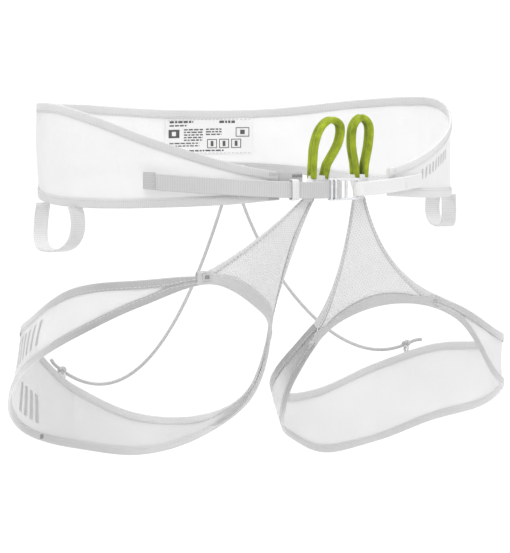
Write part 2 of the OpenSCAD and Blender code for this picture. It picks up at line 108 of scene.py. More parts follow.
def line_value(xs, ys, x):
    """Smooth value through stations, held flat beyond the ends."""
    xs, ys = np.array(xs, float), np.array(ys, float)
    i = np.arange(len(xs))
    lo, hi = np.maximum(i - 1, 0), np.minimum(i + 1, len(xs) - 1)
    slope = (ys[hi] - ys[lo]) / (xs[hi] - xs[lo])
    at = np.clip(np.asarray(x, float), xs[0], xs[-1])
    k = np.clip(np.searchsorted(xs, at, side="right") - 1, 0, len(xs) - 2)
    h = xs[k + 1] - xs[k]
    t = (at - xs[k]) / h
    return ((2 * t ** 3 - 3 * t * t + 1) * ys[k] + (t ** 3 - 2 * t * t + t) * h * slope[k]
            + (3 * t * t - 2 * t ** 3) * ys[k + 1] + (t ** 3 - t * t) * h * slope[k + 1])


def unit(v):
    return v / np.maximum(np.linalg.norm(v, axis=-1, keepdims=True), 1e-9)


def ramp(a, b, x):
    t = np.clip((np.asarray(x, float) - a) / (b - a), 0, 1)
    return t * t * (3 - 2 * t)


def mix(a, b, t):
    return a + (b - a) * t


def metres(point):
    """A point in metres, as plain numbers."""
    return tuple(float(v) * 0.001 for v in point)


def sin_deg(x):
    return np.sin(np.radians(x))


def headings(path, closed=False):
    if closed:
        return unit(np.roll(path, -1, 0) - np.roll(path, 1, 0))
    return unit(np.gradient(path, axis=0))


def lengths(path):
    return np.concatenate([[0], np.cumsum(np.linalg.norm(np.diff(path, axis=0), axis=1))])


def at_lengths(path, s):
    """Points of a path at given distances along it."""
    along = lengths(path)
    return np.stack([np.interp(s, along, path[:, k]) for k in range(path.shape[1])], -1)


def bezier(points, t):
    p = [np.asarray(q, float) for q in points]
    t = np.asarray(t, float)[..., None]
    while len(p) > 1:
        p = [mix(a, b, t) for a, b in zip(p, p[1:])]
    return p[0]


# ---------------- surfaces of the object

def belt_out(angle):
    a = np.radians(angle)
    return unit(np.stack([np.sin(a) / HALF_W, np.cos(a) / HALF_D, 0 * a], -1))


def belt_along(angle):
    o = belt_out(angle)
    return np.stack([o[..., 1], -o[..., 0], 0 * o[..., 0]], -1)


def belt_top(angle):
    crest = 5.5 * np.exp(-((angle + 30) / 22) ** 2)
    return line_value(EDGE_ANGLES, TOP_HEIGHTS, np.abs(angle)) + crest


def belt_bottom(angle):
    return line_value(EDGE_ANGLES, BOTTOM_HEIGHTS, np.abs(angle))


def belt_wave(angle, z):
    """How far the cloth billows out of the belt's plain surface."""
    low, high = belt_bottom(angle), belt_top(angle)
    h = np.clip((z - low) / (high - low), 0, 1)
    belly = 4 * h * (1 - h)
    free = belly * (0.9 * sin_deg(4.3 * angle + 50) + 0.7 * sin_deg(9.7 * angle - 60 + 70 * h)
                    + 0.35 * sin_deg(17 * angle + 120 * h)) + 0.3 * sin_deg(7 * angle + 200 * h)
    held = -0.9 * belly * (1 + 0.5 * sin_deg(11 * angle + 90 * h))
    return mix(free, held, ramp(104, 124, np.abs(angle)))


def plain_belt(angle, z, out=0.0):
    a = np.radians(angle)
    base = np.stack([HALF_W * np.sin(a), HALF_D * np.cos(a), z + 0 * a], -1)
    return base + belt_out(angle) * np.asarray(out + 0 * a)[..., None]


def front_angle(x):
    """Where the belt's front stands at a given x, just past the closing angle -180."""
    return -180 - np.degrees(np.arcsin(x / HALF_W))


def belt_at(angle, z, out=0.0):
    return plain_belt(angle, z, out + belt_wave(angle, z))


def leg_out(side, angle):
    a = np.radians(angle)
    return np.stack([SIGN[side] * np.cos(a), -np.sin(a), 0 * a], -1)


def leg_wave(side, a, rise):
    """How far the cloth billows out. It lies still at the riser's corners."""
    belly = 4 * rise * (1 - rise)
    free = belly * (1.2 * sin_deg(3 * a + 40 + 60 * side) + 0.8 * sin_deg(7 * a + 90 * rise)
                    + 0.4 * sin_deg(13 * a - 150 * rise)) + 0.35 * sin_deg(5 * a + 120 * rise)
    corner = np.minimum(np.abs(a - INNER_CORNER[side]), np.abs(a - OUTER_CORNER[side] - 360))
    return free * ramp(0, 18, corner)


def leg_at(side, a, rise, out=0.0, wavy=True):
    """A point on a leg loop at angle a: rise is 0 on its lower edge and 1 on its upper one."""
    lean = ring_value(LEG_LEAN[side], a)
    wave = leg_wave(side, a, rise) if wavy else 0
    r = (LEG_RADIUS[side] - np.maximum(lean, 0) * rise + np.minimum(lean, 0) * (1 - rise)
         + out + wave)
    z = mix(ring_value(LEG_BOTTOM[side], a), ring_value(LEG_TOP[side], a), rise)
    flat = leg_out(side, a) * np.asarray(r)[..., None]
    return flat + np.stack([LEG_CENTRE[side][0] + 0 * a, LEG_CENTRE[side][1] + 0 * a, z], -1)


def leg_height(side, angle):
    return np.linalg.norm(leg_at(side, angle, 1.0) - leg_at(side, angle, 0.0), axis=-1)


def leg_rise(side, angle):
    return unit(leg_at(side, angle, 1.0, wavy=False) - leg_at(side, angle, 0.0, wavy=False))


def riser_edge(side, outer, t):
    top = RISER_TOP[side] + [SIGN[side] * (4.5 if outer else -4.5), 0, 0]
    bend = RISER_TOP[side] + (OUTER_BEND if outer else INNER_BEND)[side]
    corner = leg_at(side, (OUTER_CORNER if outer else INNER_CORNER)[side], 1.0, wavy=False)
    return bezier([top, bend, corner], t)


def riser_base(side, across, rise=0.0):
    return leg_at(side, mix(INNER_CORNER[side], OUTER_CORNER[side], across), rise, wavy=False)


def riser_at(side, across, down):
    """A point on a riser: across is 0 on its inner edge, down is 0 at its top."""
    across, down = np.broadcast_arrays(np.asarray(across, float), np.asarray(down, float))
    corner = np.maximum(0, 1 - np.minimum(across, 1 - across) * 14)
    high, low = riser_base(side, across, 1.0), riser_base(side, across, corner)
    ends = [riser_edge(side, outer, np.ones_like(down)) for outer in (False, True)]
    inner, outer = riser_edge(side, False, down), riser_edge(side, True, down)
    k, d = across[..., None], down[..., None]
    return mix(inner, outer, k) + (high - mix(ends[0], ends[1], k)) * d ** 2.5 + (low - high) * d ** 6


def riser_out(side, across, down):
    d = 0.02
    across, down = np.broadcast_arrays(np.asarray(across, float), np.asarray(down, float))
    u = (riser_at(side, np.minimum(across + d, 1), down)
         - riser_at(side, np.maximum(across - d, 0), down))
    v = (riser_at(side, across, np.minimum(down + d, 1))
         - riser_at(side, across, np.maximum(down - d, 0)))
    return unit(np.cross(u, v)) * -SIGN[side]


# ---------------- mesh building

def new_object(name, data):
    obj = bpy.data.objects.new(name, data)
    bpy.context.scene.collection.objects.link(obj)
    return obj


class Shape:
    """Collects closed skins with their texture places, in mm, and builds one object."""

    def __init__(self):
        self.points, self.faces, self.places, self.marks, self.count = [], [], [], [], 0

    def put(self, points, quads, places, mark=0):
        self.points.append(points)
        self.faces.append(quads + self.count)
        self.places.append(places)
        self.marks.append(np.full(len(quads), mark))
        self.count += len(points)

    def add(self, points, quads, places, mark=0):
        """Puts in a closed skin, turned so that it faces outwards."""
        points, quads = np.asarray(points, float), np.asarray(quads, int)
        a, b, c, d = (points[quads[:, k]] for k in range(4))
        volume = (a * np.cross(b, c)).sum() + (a * np.cross(c, d)).sum()
        if volume < 0:
            quads, places = quads[:, ::-1], places[:, ::-1]
        self.put(points, quads, places, mark)

    def skin(self, rings, closed=False, mark=0, turn=0.0):
        """A closed skin over rings of points, shape (rings, points in a ring, 3)."""
        n, k = rings.shape[:2]
        along = lengths(np.concatenate([rings, rings[:1]])[:, 0])
        around = lengths(np.concatenate([rings[n // 2], rings[n // 2][:1]]))
        i, j = np.meshgrid(np.arange(n if closed else n - 1), np.arange(k), indexing="ij")
        i, j = i.ravel(), j.ravel()
        m, s = (i + 1) % n, (j + 1) % k
        quads = np.stack([i * k + j, m * k + j, m * k + s, i * k + s], -1)
        u = np.stack([along[i], along[i + 1], along[i + 1], along[i]], -1)
        v = np.stack([around[j], around[j], around[j + 1], around[j + 1]], -1) + turn * u
        places = np.stack([u, v], -1)
        if not closed:
            j = np.arange(k // 2 - 1)
            cap = np.stack([j, j + 1, k - 2 - j, k - 1 - j], -1)
            spot = np.stack([np.zeros((len(cap), 4)), around[cap]], -1)
            quads = np.concatenate([quads, cap[:, ::-1], cap + (n - 1) * k])
            places = np.concatenate([places, spot[:, ::-1], spot])
        self.add(rings.reshape(-1, 3), quads, places, mark)

    def threads(self, starts, ends, normals, r, mark):
        """Short thread segments from start to end, round and sunk to their middle."""
        sides = 6
        t = unit(ends - starts)
        b = unit(np.cross(t, normals))
        n = np.cross(b, t)
        steps = np.array([0, 0.16, 0.84, 1])
        girth = np.array([0.4, 1, 1, 0.4]) * r
        a = 2 * np.pi * np.arange(sides) / sides
        count = len(starts)
        centre = starts[:, None] + (ends - starts)[:, None] * steps[None, :, None]
        offset = (b[:, None, None] * np.cos(a)[None, None, :, None]
                  + n[:, None, None] * np.sin(a)[None, None, :, None])
        points = centre[:, :, None] + offset * girth[None, :, None, None]
        i, j = np.meshgrid(np.arange(3), np.arange(sides), indexing="ij")
        i, j = i.ravel(), j.ravel()
        s = (j + 1) % sides
        quads = np.stack([i * sides + j, (i + 1) * sides + j, (i + 1) * sides + s,
                          i * sides + s], -1)
        caps = np.array([[0, 1, 2, 3], [0, 3, 4, 5]])
        quads = np.concatenate([quads, caps[:, ::-1], caps + 3 * sides])
        every = (quads[None] + (np.arange(count) * 4 * sides)[:, None, None]).reshape(-1, 4)
        corner = np.array([[0, 0], [1, 0], [1, 1], [0, 1]], float)
        places = np.broadcast_to(corner, (len(every), 4, 2)) + rng.random((len(every), 1, 2))
        self.add(points.reshape(-1, 3), every, places.copy(), mark)

    def build(self, name, slot, *materials):
        mesh = bpy.data.meshes.new(name)
        points = np.concatenate(self.points) * 0.001
        faces = np.concatenate(self.faces)
        mesh.from_pydata(points.tolist(), [], faces.tolist())
        layer = mesh.uv_layers.new(name="cloth")
        layer.data.foreach_set("uv", np.concatenate(self.places).astype(np.float32).ravel())
        for material in materials:
            mesh.materials.append(material)
        mesh.polygons.foreach_set("material_index", np.concatenate(self.marks).astype(np.int32))
        mesh.polygons.foreach_set("use_smooth", np.ones(len(faces), bool))
        mesh.set_sharp_from_angle(angle=np.radians(50))
        mesh.update()
        obj = new_object(name, mesh)
        return obj

    def on(self, body, node, name, slot, *materials):
        """Builds the object. It rides a body and stands in for a CAD node."""
        obj = self.build(name, slot, *materials)
        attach(obj, body)
        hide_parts(node)

    def between(self, body, node, start, end, name, slot, *materials):
        """Builds the object fixed in place and stands in for a CAD node. body, start and end are not used.
        """
        obj = self.build(name, slot, *materials)
        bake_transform(obj)
        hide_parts(node)


def sweep(path, across, normal, section):
    """Rings of a section given as (across, normal) pairs; one section, or one for each ring."""
    section = np.asarray(section, float)
    if section.ndim == 2:
        section = np.broadcast_to(section, (len(path),) + section.shape)
    across, normal = np.broadcast_arrays(across, normal, path)[:2]
    return path[:, None] + across[:, None] * section[..., :1] + normal[:, None] * section[..., 1:]


def ribbon(shape, path, across, section, closed=False):
    """Skins a section swept along a path, with its first axis held to one direction."""
    normal = unit(np.cross(headings(path, closed), across))
    shape.skin(sweep(path, across, normal, section), closed=closed)


def oval(centre, across, half_across, half_up, count=40, power=1.0):
    """A closed upright path round a centre. A low power squares it off."""
    t = np.linspace(0, 2 * np.pi, count, endpoint=False)
    x, y = (np.sign(v) * np.abs(v) ** power for v in (np.cos(t), np.sin(t)))
    return centre + across * (x * half_across)[:, None] + UP * (y * half_up)[:, None]


def resampled(path, step):
    total = lengths(path)[-1]
    return at_lengths(path, np.linspace(0, total, int(total / step) + 2))


def tape_section(width, thick, bead=0.0):
    """Flat woven tape with round selvedges. bead thickens them a little."""
    r = thick / 2
    x = [-width / 2 + r, -width / 2 + 1.6 * r, -width / 4, 0, width / 4, width / 2 - 1.6 * r,
         width / 2 - r]
    y = [r + bead, r, r, r, r, r, r + bead]
    a = np.radians([65, 30, 0, -30, -65])
    right = [(width / 2 - r + r * np.cos(t), (r + bead) * np.sin(t)) for t in a]
    top = list(zip(x, y))
    bottom = [(-p, -q) for p, q in top]
    left = [(-p, -q) for p, q in right]
    return np.array(top + right + bottom + left)


def fold_section(width, half, thick=0.4):
    """Edge tape folded over cloth. The first number runs into the cloth, from its edge."""
    f = half + thick
    outer = [(width, f * 0.9), (width - 0.35, f), (width * 0.55, f + 0.06), (0.5, f),
             (-0.1, f * 0.92), (-0.4, f * 0.62), (-0.52, f * 0.2)]
    outer += [(x, -y) for x, y in reversed(outer)]
    inner = [(width, -half), (width * 0.6, -half), (0.2, -half), (0.0, -half * 0.5)]
    inner += [(x, -y) for x, y in reversed(inner)]
    return np.array(outer + inner)


def round_section(width, thick, count=16, power=1.0, dent=0.0):
    a = 2 * np.pi * (np.arange(count) + 0.5) / count
    x = np.sign(np.cos(a)) * np.abs(np.cos(a)) ** power * width / 2
    y = np.sign(np.sin(a)) * np.abs(np.sin(a)) ** power * thick / 2
    y = y * (1 - dent * np.exp(-(x / (0.16 * width)) ** 2))
    return np.stack([x, y], -1)


def stitch_row(shape, path, normal, stitch=2.1, gap=0.9, r=0.24, mark=STITCH):
    """A row of thread stitches along a path, lying on the side that normal points to."""
    total = lengths(path)[-1]
    count = max(int(total / (stitch + gap)), 1)
    begin = (np.arange(count) + 0.15) * total / count
    starts, ends = at_lengths(path, begin), at_lengths(path, begin + stitch)
    face = unit(at_lengths(path + normal, begin) - starts)
    shape.threads(starts, ends, face, r, mark)


def zigzag(shape, centre, across, up, normal, width, height, turns, r=0.26, mark=0):
    """A bartack: a dense zigzag of thread."""
    centre, across, up, normal = (np.asarray(v, float) for v in (centre, across, up, normal))
    t = np.linspace(-0.5, 0.5, 2 * turns + 1)
    side = np.where(np.arange(len(t)) % 2 == 0, -0.5, 0.5)
    p = centre + across * (t * width)[:, None] + up * (side * height)[:, None]
    shape.threads(p[:-1], p[1:], normal, r, mark)


def fold_over(shape, edge, into, normal, width, half=0.45, seam=0.45):
    """Edge tape folded over a run of cloth, stitched and with a turned edge on both sides, its turned
    edges in painted seam shade.
    """
    width = np.broadcast_to(np.asarray(width, float), (len(edge),))
    section = np.stack([fold_section(w, half) for w in width])
    shape.skin(sweep(edge, into, normal, section))
    normal = np.broadcast_arrays(normal, edge)[0]
    for way in (1, -1):
        row = edge + into * (width - 1.1)[:, None] + normal * way * (half + 0.42)
        stitch_row(shape, row, normal * way)
        # Painted seam shade: the turned edge takes the TURNED material, a darker tone.
        turned = edge + into * width[:, None] + normal * way * (half - 0.02)
        shape.skin(sweep(turned, into, normal, tape_section(seam, 0.12)), mark=TURNED)


def sheet(shape, grid, normals, thick, mark=0):
    """A thin closed sheet over a grid of points, shape (along, up, 3)."""
    upper, lower = grid + normals * thick / 2, grid - normals * thick / 2
    shape.skin(np.concatenate([upper, lower[:, ::-1]], axis=1), mark=mark)


def belt_patch(shape, angles, lows, highs, out, thick, mark=0, n=6):
    """A thin patch that lies on the belt's cloth between two angles and two heights."""
    a = np.linspace(angles[0], angles[1], n)[:, None]
    low, high = (np.linspace(v[0], v[1], n)[:, None] if np.ndim(v) else np.full((n, 1), float(v))
                 for v in (lows, highs))
    z = mix(low, high, np.linspace(0, 1, 4)[None])
    a = np.broadcast_to(a, z.shape)
    sheet(shape, belt_at(a, z, out), belt_out(a), thick, mark)


# ---------------- materials

class Graph:
    """Small helper that writes a material's nodes."""

    def __init__(self, name):
        self.material = bpy.data.materials.new(name)
        self.material.use_nodes = True
        self.tree = self.material.node_tree
        self.tree.nodes.clear()

    def add(self, kind, inputs=None, **settings):
        node = self.tree.nodes.new("ShaderNode" + kind)
        for key, value in settings.items():
            setattr(node, key, value)
        for key, value in (inputs or {}).items():
            if isinstance(value, bpy.types.NodeSocket):
                self.tree.links.new(value, node.inputs[key])
            else:
                node.inputs[key].default_value = value
        return node

    def math(self, operation, a, b=0.0, c=0.0):
        return self.add("Math", {0: a, 1: b, 2: c}, operation=operation).outputs[0]

    def cloth_place(self, angle=0.0):
        """Texture place in mm along the cloth, after a turn."""
        uv = self.add("UVMap", uv_map="cloth").outputs[0]
        turned = self.add("Mapping", {"Vector": uv, "Rotation": (0, 0, np.radians(angle))})
        return self.add("SeparateXYZ", {0: turned.outputs[0]}).outputs[0]

    def stripes(self, pitch, angle=0.0, sharp=1.0):
        """Soft ridges, 0 to 1, across the cloth's length, one every pitch mm."""
        wave = self.math("SINE", self.math("MULTIPLY", self.cloth_place(angle), 2 * np.pi / pitch))
        return self.math("POWER", self.math("MULTIPLY_ADD", wave, 0.5, 0.5), sharp)

    def noise(self, scale, detail=3.0, place=None, rough=0.55):
        place = place or self.add("TexCoord").outputs["Object"]
        return self.add("TexNoise", {"Vector": place, "Scale": scale, "Detail": detail,
                                     "Roughness": rough}).outputs["Fac"]

    def shade(self, value, low, high, dark, light):
        """Colour between dark and light as value runs from low to high."""
        node = self.add("ValToRGB", {0: value})
        ends = node.color_ramp.elements
        ends[0].position, ends[1].position = low, high
        ends[0].color, ends[1].color = (*dark, 1), (*light, 1)
        return node.outputs[0]

    def along(self, colour, length, shade_stops):
        """Paints shade along the cloth: darkens a colour by place along its length. shade_stops are (share
        of its length, tone) pairs.
        """
        node = self.add("ValToRGB", {0: self.math("DIVIDE", self.cloth_place(), length)})
        ends = node.color_ramp.elements
        for k, (place, level) in enumerate(shade_stops):
            stop = ends[k] if k < 2 else ends.new(place)
            stop.position, stop.color = place, (*tone(level), 1)
        return self.multiply(colour, node.outputs[0])

    def multiply(self, a, b):
        return self.add("Mix", {0: 1.0, 6: a, 7: b}, data_type="RGBA",
                        blend_type="MULTIPLY").outputs[2]

    def seen_through(self, share, a, b):
        return self.add("MixShader", {0: share, 1: a, 2: b}).outputs[0]

    def bump(self, height, strength, distance, under=None):
        inputs = {"Height": height, "Strength": strength, "Distance": distance}
        if under:
            inputs["Normal"] = under
        return self.add("Bump", inputs).outputs[0]

    def surface(self, colour, rough, normal, sheen=0.0, shine=0.5, **more):
        values = {"Base Color": colour, "Roughness": rough, "Normal": normal,
                  "Sheen Weight": sheen, "Specular IOR Level": shine}
        values.update((key.replace("_", " "), value) for key, value in more.items())
        return self.add("BsdfPrincipled", values).outputs[0]

    def finish(self, shader):
        self.add("OutputMaterial", {"Surface": shader})
        return self.material


def tone(v):
    return v, v, v


def cloth(name, dark, light, pitch, depth, rough=0.75, cross=None, sheen=0.25, through=0.0,
          clear=0.0, fuzz=0.25, length=1.0, shade_stops=None):
    """Woven cloth: ribs across the tape, an optional second set of ribs, fuzz and blotches."""
    g = Graph(name)
    ribs = g.stripes(pitch, sharp=0.8)
    if cross:
        ribs = g.math("MULTIPLY", ribs, g.stripes(cross[0], cross[1], 0.8))
    blotches = g.noise(18.0, 4.0)
    fibres = g.noise(2600.0, 2.0)
    colour = g.shade(blotches, 0.3, 0.7, tone(dark), tone(light))
    colour = g.multiply(colour, g.shade(ribs, 0.0, 0.55, tone(1 - depth), tone(1)))
    colour = g.multiply(colour, g.shade(fibres, 0.35, 0.6, tone(1 - 0.16 * fuzz), tone(1)))
    # Painted shade: shade_stops darken the colour along the cloth's length.
    if shade_stops:
        colour = g.along(colour, length, shade_stops)
    normal = g.bump(ribs, 0.4, 0.0002)
    normal = g.bump(fibres, 0.2 * fuzz, 0.0001, normal)
    roughness = g.math("MULTIPLY_ADD", blotches, 0.2, rough - 0.1)
    body = g.surface(colour, roughness, normal, sheen, 0.3)
    if through:
        glow = g.add("BsdfTranslucent", {"Color": colour, "Normal": normal}).outputs[0]
        body = g.seen_through(through, body, glow)
    if clear:
        body = g.seen_through(clear, body, g.add("BsdfTransparent").outputs[0])
    return g.finish(body)


def laminate(name, dark, light, length=1.0, shade_stops=None):
    """Thin film laminate: a faint grid of fibres under a satin film, with soft creases."""
    g = Graph(name)
    lines = g.math("MAXIMUM", g.stripes(5.2, 28, 14), g.stripes(5.2, -28, 14))
    creases = g.noise(38.0, 5.0, rough=0.6)
    crumple = g.add("TexVoronoi", {"Vector": g.add("TexCoord").outputs["Object"],
                                   "Scale": 95.0}, feature="DISTANCE_TO_EDGE").outputs[0]
    blotches = g.noise(9.0, 4.0)
    colour = g.shade(blotches, 0.3, 0.75, tone(dark), tone(light))
    colour = g.multiply(colour, g.shade(lines, 0.1, 0.9, tone(1), tone(0.985)))
    # Painted shade: shade_stops darken the colour along the cloth's length.
    if shade_stops:
        colour = g.along(colour, length, shade_stops)
    normal = g.bump(creases, 0.35, 0.002)
    normal = g.bump(crumple, 0.07, 0.0008, normal)
    normal = g.bump(lines, 0.1, 0.00006, normal)
    roughness = g.math("MULTIPLY_ADD", creases, 0.25, 0.36)
    body = g.surface(colour, roughness, normal, 0.1, 0.35)
    glow = g.add("BsdfTranslucent", {"Color": colour, "Normal": normal}).outputs[0]
    clear = g.math("MULTIPLY_ADD", lines, -0.012, 0.24)
    hole = g.add("BsdfTransparent").outputs[0]
    return g.finish(g.seen_through(clear, g.seen_through(0.45, body, glow), hole))


def sleeve(name):
    """Bright woven sleeve. Fine checks, fuzzy light highlights and painted shade darkening its hollows."""
    g = Graph(name)
    checks = g.math("MULTIPLY", g.stripes(1.1, 32, 0.9), g.stripes(1.1, -32, 0.9))
    painted_hollow_shade = g.add("AmbientOcclusion", {"Distance": 0.006}, samples=8).outputs["AO"]
    patches = g.noise(160.0, 4.0)
    colour = g.shade(patches, 0.3, 0.72, (0.21, 0.28, 0.006), (0.48, 0.58, 0.022))
    colour = g.multiply(colour, g.shade(checks, 0.0, 0.5, tone(0.72), tone(1)))
    # Painted shade: ambient occlusion darkens the colour in hollows and grooves.
    colour = g.multiply(colour, g.shade(painted_hollow_shade, 0.35, 0.95, (0.22, 0.27, 0.3), tone(1)))
    fibres = g.noise(2400.0, 2.0)
    normal = g.bump(checks, 0.7, 0.0004)
    normal = g.bump(fibres, 0.15, 0.0002, normal)
    return g.finish(g.surface(colour, 0.7, normal, 0.5, 0.3, Sheen_Tint=(0.8, 1, 0.3, 1)))


def metal(name):
    """Satin anodised aluminium with fine scratches and patchy wear."""
    g = Graph(name)
    place = g.add("Mapping", {"Vector": g.add("TexCoord").outputs["Object"],
                              "Scale": (900, 90, 900)}).outputs[0]
    scratches = g.noise(1.0, 3.0, place)
    wear = g.noise(220.0, 4.0)
    colour = g.shade(wear, 0.35, 0.7, (0.66, 0.67, 0.69), (0.8, 0.805, 0.82))
    rough = g.math("MULTIPLY_ADD", scratches, 0.28, 0.34)
    normal = g.bump(scratches, 0.12, 0.0001)
    return g.finish(g.surface(colour, rough, normal, Metallic=0.4))


FOLDED = dict(pitch=1.3, depth=0.1, rough=0.72, cross=(0.9, 90), through=0.15, fuzz=0.15)
TWILL = dict(pitch=1.6, depth=0.12, rough=0.7, cross=(1.1, 62), through=0.08)
PLAIN = dict(pitch=0.9, rough=0.8, sheen=0.1)
YARN = dict(pitch=0.5, rough=0.6)
BELT_RUN, LEG_RUN = 775, [436, 430]

LAMINATE = laminate("laminate", 0.87, 0.95)
# Painted shade: shade_stops darken each leg's cloth along the loop where it lies in shadow, towards the
# crotch and round the far side.
LEG_LAMINATE = [laminate("leg_laminate_" + NAMES[side], 0.83, 0.92, LEG_RUN[side], shade_stops)
                for side, shade_stops in enumerate((
                    [(0, 0.9), (0.2, 0.84), (0.5, 0.84), (0.72, 1)],
                    [(0, 0.55), (0.1, 0.68), (0.17, 0.94), (0.5, 0.98), (0.8, 1)]))]
# Painted shade: shade_stops darken each leg's edge tape along the loop where it lies in shadow.
LEG_TAPE = [cloth("leg_tape_" + NAMES[side], 0.82, 0.9, length=LEG_RUN[side], shade_stops=shade_stops, **FOLDED)
            for side, shade_stops in enumerate((
                [(0, 0.7), (0.25, 0.88), (0.45, 0.78), (0.62, 0.76), (0.73, 1), (0.84, 0.98),
                 (0.9, 0.8), (1, 0.6)],
                [(0, 0.55), (0.13, 0.6), (0.2, 0.84), (0.6, 0.86), (0.72, 0.88), (0.8, 1),
                 (0.9, 0.92), (1, 0.72)]))]
RISER_TAPE = cloth("leg_binding_tape", 0.72, 0.79, **FOLDED)
BASE_TAPE = cloth("base_tape", 0.6, 0.68, **FOLDED)
CORD_TAPE = cloth("binding_tape", 0.83, 0.9, **FOLDED)
# Painted shade: shade_stops darken the belt's edge tapes along their length where they lie in shadow.
BELT_TOP_TAPE = cloth("belt_tape_top", 0.83, 0.9, length=BELT_RUN, shade_stops=[
    (0, 0.8), (0.1, 0.84), (0.26, 0.98), (0.4, 0.92), (0.62, 0.86), (0.76, 0.88), (0.88, 1)], **FOLDED)
BELT_BOTTOM_TAPE = cloth("belt_tape_bottom", 0.83, 0.9, length=BELT_RUN, shade_stops=[
    (0, 0.88), (0.12, 0.86), (0.3, 1), (0.4, 0.74), (0.6, 0.74), (0.7, 1)], **FOLDED)
MESH = cloth("riser_mesh", 0.9, 0.94, 1.1, 0.05, rough=0.8, through=0.35, sheen=0.3)
LINING = cloth("riser_lining", 0.88, 0.92, 0.9, 0.04, rough=0.8, through=0.4, clear=0.15)
WEBBING = cloth("webbing", 0.59, 0.65, **TWILL)
HEM_TAPE = cloth("hem_tape", 0.54, 0.6, **TWILL)
WHITE_TAPE = cloth("white_tape", 0.84, 0.9, 1.4, 0.06, rough=0.7, cross=(1.0, 90), through=0.1)
GEAR_TAPE = cloth("gear_tape", 0.8, 0.87, 1.5, 0.1, rough=0.7, cross=(1.1, 62), through=0.3)
ELASTIC = cloth("elastic", 0.7, 0.78, 1.0, 0.12, rough=0.8, cross=(1.4, 90))
CORDAGE = cloth("cord", 0.46, 0.54, 1.1, 0.1, rough=0.8, cross=(1.1, 90), sheen=0.25)
THREAD = cloth("thread", 0.6, 0.66, depth=0.08, sheen=0.4, **YARN)
GREY_THREAD = cloth("grey_thread", 0.42, 0.5, depth=0.1, sheen=0.4, **YARN)
DARK_THREAD = cloth("dark_thread", 0.26, 0.34, depth=0.2, **YARN)
# Painted seam shade: darker tones for the turned edges of edge tapes, standing in for the shadow along
# their seams.
SEAM_SHADE = cloth("seam_shade", 0.66, 0.74, depth=0.12, **PLAIN)
BELT_SEAM_SHADE = cloth("belt_seam_shade", 0.74, 0.8, depth=0.08, **PLAIN)
DARK_SEAM_SHADE = cloth("dark_seam_shade", 0.44, 0.52, depth=0.2, **PLAIN)
LABEL = cloth("label_cloth", 0.9, 0.95, 0.7, 0.04, rough=0.45, through=0.12, sheen=0.05, fuzz=0.1)
INK = cloth("label_ink", 0.08, 0.14, 0.7, 0.05, rough=0.5, sheen=0.0, fuzz=0.4)
PRINT = cloth("tonal_print", 0.62, 0.68, 0.8, 0.06, rough=0.55, through=0.2, clear=0.15, fuzz=0.2)
SLEEVE = sleeve("green_sleeve")
METAL = metal("buckle_metal")

# ---------------- waist belt

angles = np.linspace(-WING_END, WING_END, 420)
grid_a, rises = np.broadcast_arrays(angles[:, None], np.linspace(0, 1, 27)[None])
grid_z = mix(belt_bottom(grid_a), belt_top(grid_a), rises)
shape = Shape()
sheet(shape, belt_at(grid_a, grid_z), belt_out(grid_a), CLOTH_T)
for k in range(9):
    a = 129.0 + 2.3 * k
    z = 1.2 - 13.5 * (a - 129) / 21 + 1.2 * np.array([1, -1]) * (k % 3 == 1)
    belt_patch(shape, (a, a + 1.0), z - 7.5, z - 0.5, PRINT_OUT, PRINT_T, 1)
shape.on("harness", "waist_belt_panel", "belt_cloth", "laminate", LAMINATE, PRINT)

for name, edge_z, way, tape in (("belt_top_binding", belt_top, -1, BELT_TOP_TAPE),
                                ("belt_bottom_binding", belt_bottom, 1, BELT_BOTTOM_TAPE)):
    shape = Shape()
    edge = belt_at(angles, edge_z(angles))
    fold_over(shape, edge, UP * way, belt_out(angles), BELT_FOLD)
    shape.on("harness", name, name + "_tape", "binding_tape", tape, THREAD, BELT_SEAM_SHADE)

for side in (RIGHT, LEFT):
    shape = Shape()
    a = SIGN[side] * WING_END
    forward = belt_along(a) * SIGN[side]
    z = np.linspace(belt_bottom(a) - 0.3, belt_top(a) + 0.3, 24)
    edge = belt_at(np.full(24, a), z) + forward * 0.8
    fold_over(shape, edge, -forward, belt_out(a), WING_FOLD, half=0.95)
    if side == RIGHT:
        # A tongue runs on behind the strap, tacked in dark thread.
        a = front_angle(np.linspace(-44.5, -27.2, 10))
        a, z = np.broadcast_arrays(a[:, None], np.linspace(-26, -9.6, 6)[None])
        sheet(shape, plain_belt(a, z, -0.5), belt_out(a), CLOTH_T)
        tack_a = a[7, 0]
        spot = plain_belt(tack_a, -12.2, -0.22)
        zigzag(shape, spot, belt_along(tack_a), UP, belt_out(tack_a), 7.5, 2.4, 7, 0.24, TACK)
    shape.on("harness", "wing_end_cover_" + NAMES[side], "wing_end_tape_" + NAMES[side],
             "binding_tape", BASE_TAPE if side == RIGHT else WHITE_TAPE, THREAD, BELT_SEAM_SHADE, DARK_THREAD)

# Size label on the inside of the back: rows of plain bars stand for its small print. Places
# across it are shares of its half width, and heights are in mm.
shape = Shape()
mid, half_x = BACK_TURN - 5, 13.0
belt_patch(shape, (mid - half_x, mid + half_x), -7.0, 19.0, -0.75, 0.3, n=40)


def label_bar(x0, x1, z0, z1):
    belt_patch(shape, (mid + x0 * half_x, mid + x1 * half_x), z0, z1, -0.98, 0.16, 1, n=4)


def label_frame(x0, x1, z0, z1, line=0.5):
    wide = line / (half_x * 2.45)
    label_bar(x0, x1, z1 - line, z1)
    label_bar(x0, x1, z0, z0 + line)
    label_bar(x0, x0 + wide, z0, z1)
    label_bar(x1 - wide, x1, z0, z1)


def label_words(x0, x1, z, high=1.1):
    x = x0
    while x < x1:
        width = rng.uniform(0.035, 0.12)
        label_bar(x, min(x + width, x1), z, z + high)
        x += width + 0.025


